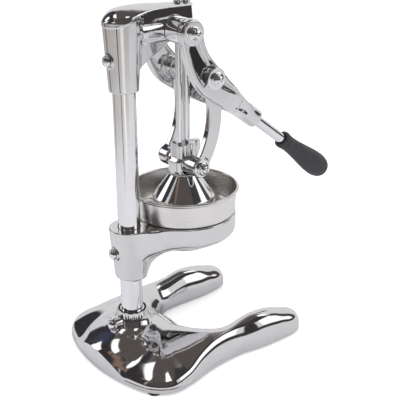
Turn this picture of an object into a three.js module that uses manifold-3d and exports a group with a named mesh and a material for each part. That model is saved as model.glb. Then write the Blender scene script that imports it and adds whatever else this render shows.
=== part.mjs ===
// Lever citrus press: a chromed stand with a post, a bowl on a bracket, and a
// hollow press cone that a forked lever drives down through two curved links.
// Millimetres, +Z up. While the pieces are made, the post's axis is X = Y = 0 and
// the surface it stands on is Z = 0. +X runs from the post towards the handle, and
// "left" is the -Y side, which is the left hand of a user who faces the post.

import * as THREE from 'three';
import { mergeVertices } from 'three/addons/utils/BufferGeometryUtils.js';
import Module from 'manifold-3d';

const wasm = await Module();
wasm.setup();

// Clearances, overrun and facets
const fitGap = 0.3;
const overrun = 2;
const weld = 0.001;
const fineFacets = 44;
const mediumFacets = 28;
const smallFacets = 16;
const sides = [['left', -1], ['right', 1]];

// Post
const postRadius = 12.5;
const postWall = 2;
const postTop = 386;
const postSeat = 14;

// Base casting and its feet
const footHeight = 3;
const footRadius = 8;
const footPocket = 1.5;
const footInset = 20;
const baseRear = 54;
const baseFront = 195;
const baseHalfWidth = 100;
const toeRound = 25;
const baseCrown = 41;
const skirtHeight = 6;
const baseSocketTop = 62;
const baseSocketRadius = 17;
const baseSocketFlare = 52;
const baseScrewDrop = 13;
const baseScrewHeight = baseSocketTop - baseScrewDrop;
const baseScrewReach = 11;

// Set screws
const screwShankRadius = 3;
const screwHeadRadius = 6.2;
const screwHeadHeight = 5;
const screwSlotWidth = 1.6;
const screwSlotDepth = 1.8;
const screwBossRadius = 8;
const screwBossInset = 1.2;

// Bowl bracket
const bracketTop = 164;
const bracketDepth = 60;
const bracketBottom = bracketTop - bracketDepth;
const bracketSocketRadius = 23;
const bracketSocketFoot = 17.5;
const bracketScrewDrop = 28;
const bracketScrewHeight = bracketTop - bracketScrewDrop;
const ringRadius = 60;
const ringWall = 9;
const ringSkirt = 18;
const cupDepth = 39;
const cupMouthRadius = 28;
const cupWall = 4;
const armTipHalfWidth = 22;
const armLift = 5;

// Bowl, whose rim stands clear of the post
const bowlOverhang = 0.4;
const bowlFootInset = 1.4;
const bowlInnerRadius = ringRadius + bowlOverhang;
const bowlFootRadius = ringRadius - bowlFootInset;
const bowlDepth = 30.7;
const bowlRimHeight = bracketTop + bowlDepth;
const bowlWall = 1.4;
const rimBeadRadius = 1.5;
const bowlPostGap = 0.6;
const pressAxis = postRadius + bowlPostGap + bowlInnerRadius + 2 * rimBeadRadius;
const bowlSeatWidth = 12;
const spoutRadius = 12;
const spoutNeckDrop = 24;
const spoutLength = 12;
const spoutNeckHeight = bracketTop - spoutNeckDrop;
const spoutEndHeight = spoutNeckHeight - spoutLength;

// Strainer and reaming cone
const strainerGap = 1.2;
const strainerRadius = bowlFootRadius - bowlWall - strainerGap;
const strainerThickness = 1.6;
const strainerSlots = 36;
const strainerSlotWidth = 2.2;
const strainerRim = 7;
const strainerSlotLength = 17;
const strainerSlotEnd = strainerRadius - strainerRim;
const strainerSlotStart = strainerSlotEnd - strainerSlotLength;
const reamerRadius = 26.5;
const reamerHeight = 28;
const reamerRibs = 10;
const reamerRibDepth = 2.2;

// Press cone, neck and guide rods
const coneRimRise = 7;
const coneDepth = 39;
const coneRimHeight = bracketTop + coneRimRise;
const coneTop = coneRimHeight + coneDepth;
const coneTopRadius = 16.4;
const coneRimRadius = 36.4;
const coneWall = 2.4;
const pivotRise = 14;
const pivotHeight = coneTop + pivotRise;
const neckRise = 22;
const neckTop = pivotHeight + neckRise;
const neckTopHalfLength = 12.5;
const neckTopHalfWidth = 10.5;
const neckFootRadius = 17.8;
const neckLugRadius = 9.5;
const neckFluteRadius = 1.8;
const frontBossRadius = 5;
const frontBossReach = 17.5;
const frontBossLength = 22;
const rodRadius = 3.9;
const rodSpacing = 10;
const rodSeatDepth = 21;
const stopHeadRadius = 4.8;
const stopHeadHeight = 2.8;
const stopShankRadius = 1.9;
const stopShankLength = 10;
const coneBoltRadius = 3.5;
const coneBoltLength = 11;
const coneBoltHeadRadius = 7;
const coneBoltHeadHeight = 3;

// Pivot places in the XZ plane
const topPivotSetback = 17.5;
const topPivotDrop = 9;
const midPivotReach = 30;
const midPivotDrop = 52;
const topPivot = { x: pressAxis - topPivotSetback, z: postTop - topPivotDrop };
const midPivot = { x: topPivot.x + midPivotReach, z: topPivot.z - midPivotDrop };
const lowPivot = { x: pressAxis, z: pivotHeight };

// Pivot hardware
const pivotShaftRadius = 6;
const pivotPinRadius = 4;
const topWasherRadius = 13;
const midWasherRadius = 12;
const lowWasherRadius = 10.5;
const washerThickness = 1.8;
const nutRadius = 7.6;
const nutHeight = 7.4;
const nutSkirt = 2.6;
const nutThread = 4.8;
const boltHeadRadius = 8.5;
const boltHeadHeight = 3;

// Head casting
const headGrip = 68;
const headFoot = postTop - headGrip;
const headSocketFootRadius = 15.9;
const headShoulder = 2;
const headSocketTop = postTop - headShoulder;
const headSocketTopRadius = 19.8;
const headScrewDrop = 32;
const headScrewHeight = headSocketTop - headScrewDrop;
const headFrontReach = 8;
const headFront = pressAxis + headFrontReach;
const hoodRear = 20.5;
const hoodHeight = 19;
const hoodEdgeRise = 14.3;
const hoodFrontThickness = 1.2;
const hoodRearEdge = headSocketTop + headShoulder;
const hoodCrown = hoodRearEdge + hoodHeight;
const hoodFrontEdge = hoodRearEdge + hoodEdgeRise;
const hoodFrontCrown = hoodFrontEdge + hoodFrontThickness;
const hoodHalfWidth = 20.5;
const hoodFrontHalfWidth = 12;
const webHalfThickness = 6;
const webFootRise = 20;
const beamHalfWidth = 11;
const beamDepth = 16;
const ribRadius = 12;
const bossRadius = 12.5;
const bossHalfLength = 9;
const guidePadRadius = 5.6;
const guidePadRise = 1.1;
const guidePadHeight = hoodFrontCrown + guidePadRise;
const collarRadius = 14;

// Lever fork
const armInner = 33;
const armThickness = 9;
const armTopRadius = 14.5;
const armMidRadius = 13;
const armRecess = 5;
const handleSlope = THREE.MathUtils.degToRad(-37.3);
const forkLength = 119;
const forkCrotch = 58;
const forkSlotStraight = 42;
const handleSocketRadius = 10;
const handleSocketDepth = 26;
const forkDepth = 22.5;

// Handle
const rodHandleRadius = 6.5;
const gripStart = 175.5;
const gripLength = 97;
const gripMouthRadius = 10.3;
const gripBellyRadius = 13.6;
const gripBoreDepth = 55;
const ferruleLength = 6;
const ferruleRadius = 10.8;

// Links
const linkInner = 25;
const linkThickness = 7.7;
const linkWidth = 17;
const linkBow = 14;
const linkTopRadius = 12;
const linkLowRadius = 11.5;
const linkTopInner = 23;

// Materials
const chrome = new THREE.MeshStandardMaterial({ color: 0xd4d4d6, roughness: 0.08, metalness: 1 });
const castChrome = new THREE.MeshStandardMaterial({ color: 0xc6c6c9, roughness: 0.14, metalness: 1 });
const satinSteel = new THREE.MeshStandardMaterial({ color: 0xcdcbc7, roughness: 0.35, metalness: 1 });
const castAluminium = new THREE.MeshStandardMaterial({ color: 0xb9b9b6, roughness: 0.4, metalness: 0.9 });
const blackPlastic = new THREE.MeshStandardMaterial({ color: 0x333237, roughness: 0.55, metalness: 0 });
const blackRubber = new THREE.MeshStandardMaterial({ color: 0x1d1d1e, roughness: 0.85, metalness: 0 });

// Closed solids and their joins and cuts

function signedVolume(geometry) {
  const position = geometry.getAttribute('position');
  const index = geometry.index.array;
  const corners = [new THREE.Vector3(), new THREE.Vector3(), new THREE.Vector3()];
  let volume = 0;
  for (let i = 0; i < index.length; i += 3) {
    corners.forEach((corner, k) => corner.fromBufferAttribute(position, index[i + k]));
    volume += corners[0].dot(corners[1].clone().cross(corners[2]));
  }
  return volume / 6;
}

function closed(geometry) {
  geometry.deleteAttribute('normal');
  geometry.deleteAttribute('uv');
  const merged = mergeVertices(geometry, weld);
  const index = Array.from(merged.index.array);
  const kept = [];
  for (let i = 0; i < index.length; i += 3) {
    const [a, b, c] = index.slice(i, i + 3);
    if (a !== b && b !== c && c !== a) kept.push(a, b, c);
  }
  merged.setIndex(kept);
  if (signedVolume(merged) < 0) {
    for (let i = 0; i < kept.length; i += 3) {
      [kept[i + 1], kept[i + 2]] = [kept[i + 2], kept[i + 1]];
    }
    merged.setIndex(kept);
  }
  return merged;
}

function toSolid(geometry) {
  const merged = closed(geometry);
  return new wasm.Manifold(new wasm.Mesh({
    numProp: 3,
    vertProperties: new Float32Array(merged.getAttribute('position').array),
    triVerts: new Uint32Array(merged.index.array),
  }));
}

function toGeometry(solid) {
  const mesh = solid.getMesh();
  const geometry = new THREE.BufferGeometry();
  geometry.setAttribute('position', new THREE.BufferAttribute(mesh.vertProperties, 3));
  geometry.setIndex(new THREE.BufferAttribute(mesh.triVerts, 1));
  return geometry;
}

function join(...geometries) {
  const solids = geometries.map(toSolid);
  return toGeometry(solids.slice(1).reduce((whole, next) => whole.add(next), solids[0]));
}

function cut(geometry, ...tools) {
  return toGeometry(tools.map(toSolid).reduce((whole, tool) => whole.subtract(tool), toSolid(geometry)));
}

function common(first, second) {
  return toGeometry(toSolid(first).intersect(toSolid(second)));
}

// Basic solids

function cylinderZ(radius, low, high, x = 0, y = 0, facets = mediumFacets, topRadius = radius) {
  const geometry = new THREE.CylinderGeometry(topRadius, radius, high - low, facets);
  geometry.rotateX(Math.PI / 2);
  return geometry.translate(x, y, (low + high) / 2);
}

function cylinderY(radius, low, high, place, facets = mediumFacets) {
  const geometry = new THREE.CylinderGeometry(radius, radius, high - low, facets);
  return geometry.translate(place.x, (low + high) / 2, place.z);
}

function cylinderX(radius, low, high, z, facets = mediumFacets, farRadius = radius) {
  const geometry = new THREE.CylinderGeometry(farRadius, radius, high - low, facets);
  geometry.rotateZ(-Math.PI / 2);
  return geometry.translate((low + high) / 2, 0, z);
}

function block(low, high) {
  const size = low.map((value, k) => high[k] - value);
  const centre = low.map((value, k) => (high[k] + value) / 2);
  return new THREE.BoxGeometry(...size).translate(...centre);
}

// A profile of [radius, height] points turned about a vertical axis
function turned(points, x = 0, y = 0, facets = fineFacets) {
  const profile = points.map(([radius, height]) => new THREE.Vector2(Math.max(radius, 0), height));
  const geometry = new THREE.LatheGeometry(profile, facets);
  geometry.rotateX(Math.PI / 2);
  return geometry.translate(x, y, 0);
}

// An outline in the XZ plane given thickness from one Y to another
function plate(shape, low, high, curveSegments = 12) {
  const geometry = new THREE.ExtrudeGeometry(shape, { depth: high - low, bevelEnabled: false, curveSegments });
  geometry.rotateX(Math.PI / 2);
  return geometry.translate(0, high, 0);
}

// A smooth closed skin through rings of points with the same count, its ends capped flat
function skin(rings) {
  const count = rings[0].length;
  const positions = rings.flat().flatMap((point) => [point.x, point.y, point.z]);
  const index = [];
  for (let i = 0; i + 1 < rings.length; i += 1) {
    for (let k = 0; k < count; k += 1) {
      const next = (k + 1) % count;
      const [a, b] = [i * count + k, i * count + next];
      const [c, d] = [a + count, b + count];
      index.push(a, b, d, a, d, c);
    }
  }
  const cap = (start, flip) => {
    const flat = rings[start / count].map((point) => new THREE.Vector3().copy(point));
    const normal = capNormal(flat);
    const across = Math.abs(normal.z) > 0.5 ? new THREE.Vector3(1, 0, 0) : new THREE.Vector3(0, 0, 1);
    const u = new THREE.Vector3().crossVectors(across, normal).normalize();
    const v = new THREE.Vector3().crossVectors(normal, u);
    const outline = flat.map((point) => new THREE.Vector2(point.dot(u), point.dot(v)));
    for (const face of THREE.ShapeUtils.triangulateShape(outline, [])) {
      const corners = face.map((corner) => start + corner);
      index.push(...(flip ? corners.reverse() : corners));
    }
  };
  const inward = capNormal(rings[0]).dot(ringStep(rings[0], rings[1])) > 0;
  cap(0, inward);
  cap((rings.length - 1) * count, !inward);
  const geometry = new THREE.BufferGeometry();
  geometry.setAttribute('position', new THREE.Float32BufferAttribute(positions, 3));
  geometry.setIndex(index);
  return geometry;
}

function capNormal(points) {
  const normal = new THREE.Vector3();
  points.forEach((point, k) => {
    const next = points[(k + 1) % points.length];
    normal.add(new THREE.Vector3().crossVectors(point, next));
  });
  return normal.normalize();
}

function ringStep(first, second) {
  const middle = (points) => points.reduce((sum, point) => sum.add(point), new THREE.Vector3());
  return middle(second).sub(middle(first));
}

function circlePoints(radius, count) {
  return Array.from({ length: count }, (_, k) => {
    const angle = Math.PI * 2 * k / count;
    return new THREE.Vector2(radius * Math.cos(angle), radius * Math.sin(angle));
  });
}

const mix = THREE.MathUtils.lerp;
const group = new THREE.Group();

function addPiece(name, geometry, material) {
  const mesh = new THREE.Mesh(closed(geometry), material);
  mesh.name = name;
  group.add(mesh);
  return mesh;
}

// Base casting: a domed body with a post socket, drawn out into two crowned toes

// Places from a toe to the rear, as shares: x of the front or rear reach, y of the half width
const baseOuterShares = [[0.868, 0.9], [0.763, 0.905], [0.632, 0.895], [0.5, 0.857], [0.368, 0.862],
  [0.221, 0.9], [0.063, 0.975], [-0.27, 0.985], [-0.64, 0.84], [-0.87, 0.53], [-0.965, 0.26], [-1, 0]];
const baseInnerShares = [[0.868, 0.56], [0.768, 0.53], [0.642, 0.53], [0.526, 0.53], [0.421, 0.5],
  [0.358, 0.38], [0.321, 0.24], [0.308, 0.13], [0.302, 0.07], [0.299, 0.035], [0.297, 0.015], [0.296, 0]];
const baseCrownShares = [0.76, 0.95, 1.02, 0.95, 0.86, 0.8, 0.83, 0.88, 0.93, 0.96, 0.98, 0.985];
const baseStations = 30;
const toeCapSteps = 5;
const bodySoftness = 1.7;
const archSteps = 10;

function baseSection(outer, inner, crown, softness = 1) {
  const points = [new THREE.Vector3(outer.x, outer.y, footHeight)];
  for (let k = 0; k <= archSteps; k += 1) {
    const angle = Math.PI * k / archSteps;
    const across = (1 - Math.cos(angle)) / 2;
    const height = footHeight + skirtHeight + (crown - skirtHeight - footHeight) * Math.sin(angle) ** softness;
    points.push(new THREE.Vector3(mix(outer.x, inner.x, across), mix(outer.y, inner.y, across), height));
  }
  points.push(new THREE.Vector3(inner.x, inner.y, footHeight));
  return points;
}

function baseReach(share) {
  return share < 0 ? share * baseRear : share * baseFront;
}

function baseHalf(side) {
  const place = ([x, y], crown = 0) => new THREE.Vector3(baseReach(x), side * y * baseHalfWidth, crown * baseCrown);
  const outer = new THREE.CatmullRomCurve3(baseOuterShares.map((share, k) => place(share, baseCrownShares[k])));
  const inner = new THREE.CatmullRomCurve3(baseInnerShares.map((share) => place(share)));
  const sections = [];
  const capStart = baseReach(baseOuterShares[0][0]);
  for (let k = toeCapSteps; k > 0; k -= 1) {
    const angle = Math.PI / 2 * k / (toeCapSteps + 0.6);
    const x = capStart + toeRound * Math.sin(angle);
    const halfWidth = toeHalfWidth() * Math.cos(angle);
    const crown = mix(footHeight + skirtHeight, baseCrownShares[0] * baseCrown, Math.cos(angle) ** 1.2);
    const middle = side * toeMiddle();
    sections.push(baseSection({ x, y: middle + side * halfWidth }, { x, y: middle - side * halfWidth }, crown));
  }
  for (let k = 0; k <= baseStations / 2; k += 1) {
    const share = k / (baseStations / 2);
    const out = outer.getPoint(share);
    sections.push(baseSection(out, inner.getPoint(share), out.z, mix(1, bodySoftness, share)));
  }
  return sections;
}

// Where the socket spreads into the body, as shares of its reach and of its rise over the crown
const socketFlareShares = [[0.94, 1.05], [0.82, 0.53], [0.69, 0.18], [0.54, -0.05]];

function makeBase() {
  const left = baseHalf(-1);
  const right = baseHalf(1).reverse().slice(1);
  const body = skin([...left, ...right]);
  const rise = baseSocketTop - baseCrown;
  const flare = socketFlareShares.map(([radial, drop]) => [radial * baseSocketFlare, baseCrown - rise * drop]);
  const socket = turned([[0, footHeight + skirtHeight], [baseSocketFlare, footHeight + skirtHeight], ...flare,
    [baseSocketRadius * 1.25, baseCrown + rise * 0.32], [baseSocketRadius * 1.06, baseCrown + rise * 0.66],
    [baseSocketRadius, baseSocketTop - fitGap], [baseSocketRadius - fitGap, baseSocketTop], [0, baseSocketTop]]);
  const screwFace = -baseSocketRadius - baseScrewReach;
  const boss = cylinderX(screwBossRadius, screwFace, 0, baseScrewHeight, smallFacets);
  const bore = cylinderZ(postRadius + fitGap, postSeat, baseSocketTop + overrun, 0, 0, fineFacets);
  const tap = cylinderX(screwShankRadius + fitGap, screwFace - overrun, 0, baseScrewHeight, smallFacets);
  const pockets = footPlaces().map(([x, y]) => cylinderZ(footRadius + fitGap, 0, footHeight + footPocket, x, y, smallFacets));
  addPiece('base_casting', cut(join(body, socket, boss), bore, tap, ...pockets), castChrome);
  addSetScrew('base_set_screw', screwFace, baseScrewHeight);
}

function toeMiddle() {
  return baseHalfWidth * mix(baseOuterShares[0][1], baseInnerShares[0][1], 0.5);
}

function toeHalfWidth() {
  return baseHalfWidth * (baseOuterShares[0][1] - baseInnerShares[0][1]) / 2;
}

function footPlaces() {
  const toe = [baseReach(baseOuterShares[0][0]), toeMiddle()];
  const rear = [-baseRear / 2, baseHalfWidth - footInset];
  return [toe, rear].flatMap(([x, y]) => sides.map(([, side]) => [x, side * y]));
}

function makeFeet() {
  const names = ['foot_front_left', 'foot_front_right', 'foot_rear_left', 'foot_rear_right'];
  footPlaces().forEach(([x, y], k) => {
    addPiece(names[k], cylinderZ(footRadius, 0, footHeight + footPocket - fitGap, x, y, smallFacets), blackRubber);
  });
}

// A slotted dome-headed screw that points at the post from the rear
function addSetScrew(name, face, height) {
  const headStart = face - fitGap;
  const ball = new THREE.SphereGeometry(1, smallFacets, 12);
  ball.scale(screwHeadHeight, screwHeadRadius, screwHeadRadius).translate(headStart, 0, height);
  const head = common(ball, block(
    [headStart - screwHeadHeight - overrun, -screwHeadRadius - overrun, height - screwHeadRadius - overrun],
    [headStart, screwHeadRadius + overrun, height + screwHeadRadius + overrun],
  ));
  const shank = cylinderX(screwShankRadius, headStart - overrun, -postRadius - fitGap, height, smallFacets);
  const slot = block([headStart - screwHeadHeight - overrun, -screwSlotWidth / 2, height - screwHeadRadius - overrun],
    [headStart - screwHeadHeight + screwSlotDepth, screwSlotWidth / 2, height + screwHeadRadius + overrun]);
  addPiece(name, cut(join(head, shank), slot), chrome);
}

// Post

function makePost() {
  const outer = cylinderZ(postRadius, postSeat + fitGap, postTop, 0, 0, fineFacets);
  const bore = cylinderZ(postRadius - postWall, postSeat - overrun, postTop + overrun, 0, 0, mediumFacets);
  addPiece('post_tube', cut(outer, bore), chrome);
}

// Bowl bracket: a post socket, an arm with a curved underside and a cup-shaped ring

function cupOutline(inset) {
  const floor = bracketTop - cupDepth;
  return [[ringRadius - inset, bracketTop], [ringRadius - inset, bracketTop - ringSkirt],
    [ringRadius * 0.91 - inset, bracketTop - cupDepth * 0.62], [ringRadius * 0.76 - inset, bracketTop - cupDepth * 0.78],
    [ringRadius * 0.6 - inset, bracketTop - cupDepth * 0.9], [cupMouthRadius + cupWall, floor]];
}

function makeBracket() {
  const floor = bracketTop - cupDepth;
  const cup = turned([[0, floor], ...cupOutline(0).reverse(), [0, bracketTop]], pressAxis, 0, fineFacets);
  const hollow = turned([[0, floor - overrun], [cupMouthRadius, floor - overrun], [cupMouthRadius, floor + cupWall],
    [ringRadius * 0.76 - ringWall, bracketTop - cupDepth * 0.7], [ringRadius - ringWall, bracketTop - ringSkirt],
    [ringRadius - ringWall, bracketTop + overrun], [0, bracketTop + overrun]], pressAxis, 0, fineFacets);
  const socket = cylinderZ(bracketSocketFoot, bracketBottom, bracketTop, 0, 0, fineFacets, bracketSocketRadius);
  const side = new THREE.Shape();
  side.moveTo(0, bracketTop);
  side.lineTo(0, bracketBottom);
  side.lineTo(bracketSocketFoot * 0.7, bracketBottom);
  side.bezierCurveTo(bracketSocketFoot, bracketBottom + cupDepth * 0.3, bracketSocketRadius, floor + armLift,
    pressAxis - cupMouthRadius, floor + armLift);
  side.lineTo(pressAxis, floor + armLift);
  side.lineTo(pressAxis, bracketTop);
  const plan = new THREE.Shape();
  const tangent = Math.asin((ringRadius - bracketSocketRadius) / pressAxis);
  const start = [-bracketSocketRadius * Math.sin(tangent), bracketSocketRadius * Math.cos(tangent)];
  const end = [pressAxis - ringRadius * Math.sin(tangent), ringRadius * Math.cos(tangent)];
  plan.moveTo(start[0], -start[1]);
  plan.lineTo(end[0], -end[1]);
  plan.lineTo(end[0], end[1]);
  plan.lineTo(start[0], start[1]);
  const wedge = new THREE.ExtrudeGeometry(plan, { depth: bracketTop - bracketBottom, bevelEnabled: false });
  wedge.translate(0, 0, bracketBottom);
  const deepWedge = new THREE.Shape();
  deepWedge.moveTo(0, bracketBottom);
  deepWedge.lineTo(bracketSocketFoot, bracketBottom);
  deepWedge.lineTo(armTipHalfWidth, floor + armLift);
  deepWedge.lineTo(ringRadius, bracketTop - ringSkirt);
  deepWedge.lineTo(ringRadius, bracketTop);
  deepWedge.lineTo(-ringRadius, bracketTop);
  deepWedge.lineTo(-ringRadius, bracketTop - ringSkirt);
  deepWedge.lineTo(-armTipHalfWidth, floor + armLift);
  deepWedge.lineTo(-bracketSocketFoot, bracketBottom);
  const belly = new THREE.ExtrudeGeometry(deepWedge, { depth: pressAxis, bevelEnabled: false });
  belly.rotateX(Math.PI / 2).rotateZ(Math.PI / 2);
  const arm = common(common(wedge, plate(side, -ringRadius, ringRadius)), belly);
  const boss = cylinderX(screwBossRadius, -bracketSocketRadius + screwBossInset, 0, bracketScrewHeight, smallFacets);
  const bore = cylinderZ(postRadius + fitGap, bracketBottom - overrun, bracketTop + overrun, 0, 0, fineFacets);
  const tap = cylinderX(screwShankRadius + fitGap, -bracketSocketRadius - screwBossRadius, 0, bracketScrewHeight, smallFacets);
  addPiece('bracket_casting', cut(join(cup, socket, arm, boss), hollow, bore, tap), castChrome);
  addSetScrew('bracket_set_screw', -bracketSocketRadius + screwBossInset, bracketScrewHeight);
}

// Bowl: a spun steel dish with a rolled rim, a flat seat ring and a conical drain

function makeBowl() {
  const seat = bracketTop + fitGap;
  const seatInner = bowlFootRadius - bowlSeatWidth;
  const rim = bowlRimHeight - rimBeadRadius;
  const beadCentre = bowlInnerRadius + rimBeadRadius;
  const bead = [];
  for (let k = 0; k <= 6; k += 1) {
    const angle = Math.PI * (-0.5 + 1.5 * k / 6);
    bead.push([beadCentre + rimBeadRadius * Math.cos(angle), rim + rimBeadRadius * Math.sin(angle)]);
  }
  const profile = [[spoutRadius - bowlWall, spoutEndHeight], [spoutRadius, spoutEndHeight], [spoutRadius, spoutNeckHeight],
    [seatInner, seat - overrun], [seatInner, seat], [bowlFootRadius - bowlWall, seat], [bowlFootRadius, seat + bowlWall],
    [bowlInnerRadius + bowlWall, rim - rimBeadRadius * 1.6], ...bead, [bowlInnerRadius, rim - rimBeadRadius],
    [bowlFootRadius - bowlWall, seat + bowlWall], [seatInner + fitGap, seat + bowlWall], [seatInner - bowlWall, seat - overrun + bowlWall],
    [spoutRadius - bowlWall, spoutNeckHeight + bowlWall]];
  addPiece('juice_bowl', turned([...profile, profile[0]], pressAxis), satinSteel);
}

// Strainer plate and reaming cone

const strainerBottom = bracketTop + bowlWall + 2 * fitGap;
const strainerTop = strainerBottom + strainerThickness;

function makeStrainer() {
  const disc = new THREE.Shape(circlePoints(strainerRadius, fineFacets));
  for (let k = 0; k < strainerSlots; k += 1) {
    const angle = Math.PI * 2 * k / strainerSlots;
    const corner = (along, across) => new THREE.Vector2(along, across).rotateAround(new THREE.Vector2(), angle);
    const half = strainerSlotWidth / 2;
    disc.holes.push(new THREE.Path([corner(strainerSlotStart, -half), corner(strainerSlotEnd, -half),
      corner(strainerSlotEnd, half), corner(strainerSlotStart, half)]));
  }
  const geometry = new THREE.ExtrudeGeometry(disc, { depth: strainerThickness, bevelEnabled: false });
  geometry.translate(pressAxis, 0, strainerBottom);
  addPiece('strainer_plate', geometry, satinSteel);
}

function makeReamer() {
  const bottom = strainerTop + fitGap;
  const steps = 7;
  const around = reamerRibs * 4;
  const rings = [];
  for (let i = 0; i <= steps; i += 1) {
    const share = i / steps;
    const radius = reamerRadius * Math.cos(Math.PI / 2 * share * 0.93);
    const ring = [];
    for (let k = 0; k < around; k += 1) {
      const angle = Math.PI * 2 * k / around;
      const rib = reamerRibDepth * Math.cos(reamerRibs * angle) * radius / reamerRadius;
      ring.push(new THREE.Vector3(pressAxis + (radius + rib) * Math.cos(angle), (radius + rib) * Math.sin(angle),
        bottom + reamerHeight * share ** 0.9));
    }
    rings.push(ring);
  }
  addPiece('reaming_cone', skin(rings), castAluminium);
}

// Press cone, its bolt, the neck, the guide rods and their stop screws

const coneShares = [[0.972, 0.345], [0.988, 0.31], [0.9965, 0.25], [1, 0]];

function coneRadiusAt([radial]) {
  return radial * coneRimRadius;
}

function coneHeightAt([, vertical]) {
  return mix(coneRimHeight, coneTop, vertical);
}

function makePressCone() {
  const outer = coneShares.map((share) => [coneRadiusAt(share), coneHeightAt(share)]);
  const inner = outer.map(([radius, height], k) => {
    const lean = coneShares[k][1];
    return [radius - coneWall * mix(1, 0.75, lean), k === outer.length - 1 ? height : height - coneWall * lean];
  }).reverse();
  const holeRadius = coneBoltRadius + fitGap;
  const profile = [[holeRadius, coneTop], [coneTopRadius, coneTop], ...outer, ...inner,
    [coneTopRadius - coneWall, coneTop - coneWall], [holeRadius, coneTop - coneWall]];
  addPiece('press_cone', turned([...profile, profile[0]], pressAxis), chrome);
  const headTop = coneTop - coneWall - fitGap;
  const head = cylinderZ(coneBoltHeadRadius, headTop - coneBoltHeadHeight, headTop, pressAxis, 0, 6);
  const shank = cylinderZ(coneBoltRadius, headTop - coneBoltHeadHeight / 2, coneTop + coneBoltLength, pressAxis, 0, smallFacets);
  addPiece('cone_bolt', join(head, shank), satinSteel);
}

function neckRing(height, halfLength, halfWidth, power) {
  const ring = [];
  for (let k = 0; k < mediumFacets; k += 1) {
    const angle = Math.PI * 2 * k / mediumFacets;
    const [c, s] = [Math.cos(angle), Math.sin(angle)];
    const reach = (Math.abs(c) ** power + Math.abs(s) ** power) ** (-1 / power);
    ring.push(new THREE.Vector3(pressAxis + halfLength * reach * c, halfWidth * reach * s, height));
  }
  return ring;
}

function rodPlaces() {
  return [['rear', pressAxis - rodSpacing / 2], ['front', pressAxis + rodSpacing / 2]];
}

function makeNeck() {
  const bottom = coneTop + fitGap;
  const body = skin([
    neckRing(bottom, neckFootRadius, neckFootRadius, 2),
    neckRing(mix(bottom, neckTop, 0.25), neckFootRadius * 0.93, neckFootRadius * 0.84, 2.6),
    neckRing(mix(bottom, neckTop, 0.6), mix(neckFootRadius, neckTopHalfLength, 0.6), mix(neckFootRadius, neckTopHalfWidth, 0.8), 3.2),
    neckRing(neckTop, neckTopHalfLength, neckTopHalfWidth, 3.6),
  ]);
  const lug = cylinderY(neckLugRadius, -neckFootRadius, neckFootRadius, lowPivot, mediumFacets);
  const boss = cylinderZ(frontBossRadius, neckTop - frontBossLength, neckTop, pressAxis + frontBossReach, 0, smallFacets);
  const bridge = block([pressAxis, -frontBossRadius * 0.6, neckTop - frontBossLength],
    [pressAxis + frontBossReach, frontBossRadius * 0.6, neckTop - frontBossRadius * 0.6]);
  const seats = rodPlaces().map(([, x]) => cylinderZ(rodRadius + fitGap, neckTop - rodSeatDepth, neckTop + overrun, x, 0, smallFacets));
  const bolt = cylinderZ(coneBoltRadius + fitGap, bottom - overrun, coneTop + coneBoltLength + fitGap, pressAxis, 0, smallFacets);
  const flutes = [-1, 1].flatMap((side) => [-neckTopHalfLength / 2, neckTopHalfLength / 2].map((x) => cylinderZ(neckFluteRadius,
    pivotHeight + neckLugRadius, neckTop + overrun, pressAxis + x, side * (neckTopHalfWidth + neckFluteRadius / 2), smallFacets)));
  addPiece('press_neck', cut(join(body, lug, boss, bridge), ...seats, bolt, ...flutes), castChrome);
}

function makeRods() {
  const headTop = guidePadHeight;
  for (const [name, x] of rodPlaces()) {
    const rod = cylinderZ(rodRadius, neckTop - rodSeatDepth + fitGap, headTop, x, 0, smallFacets);
    const tap = cylinderZ(stopShankRadius + fitGap, headTop - stopShankLength - fitGap, headTop + overrun, x, 0, smallFacets);
    addPiece(`guide_rod_${name}`, cut(rod, tap), chrome);
    const base = headTop + fitGap;
    const dome = turned([[0, headTop - stopShankLength], [stopShankRadius, headTop - stopShankLength], [stopShankRadius, base],
      [stopHeadRadius, base], [stopHeadRadius, base + stopHeadHeight * 0.4], [stopHeadRadius * 0.75, base + stopHeadHeight * 0.85],
      [0, base + stopHeadHeight]], x, 0, smallFacets);
    addPiece(`rod_stop_screw_${name}`, dome, chrome);
  }
}

// Head casting: a post socket, a web and beam under a hood, and the cross boss for the top pivot

const hoodShares = [
  [-1, 0.08, 0, 0.1], [-0.93, 0.37, 0, 0.34], [-0.78, 0.63, 0.02, 0.54], [-0.45, 0.89, 0.22, 0.78],
  [-0.1, 1, 0.5, 0.92], [0.06, 1, 0.68, 0.96], [0.2, 0.96, 0.88, 0.99], [0.36, 0.88, 0.97, 1],
  [0.6, 0.76, 1, 0.91], [0.78, 0.68, 1, 0.84], [1, 0.6, 1, 0.8],
];

function hoodSection([along, wide, edge, crown]) {
  const x = along < 0 ? along * hoodRear : along * headFront;
  const halfWidth = along < 1 ? wide * hoodHalfWidth : hoodFrontHalfWidth;
  const low = mix(hoodRearEdge, hoodFrontEdge, edge);
  const top = along < 1 ? mix(hoodRearEdge, hoodCrown, crown) : hoodFrontCrown;
  const points = [];
  const steps = 12;
  for (let k = 0; k <= steps; k += 1) {
    const angle = Math.PI * k / steps;
    points.push(new THREE.Vector3(x, halfWidth * Math.cos(angle), mix(low, top, Math.sin(angle) ** 0.7)));
  }
  return points;
}

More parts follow.
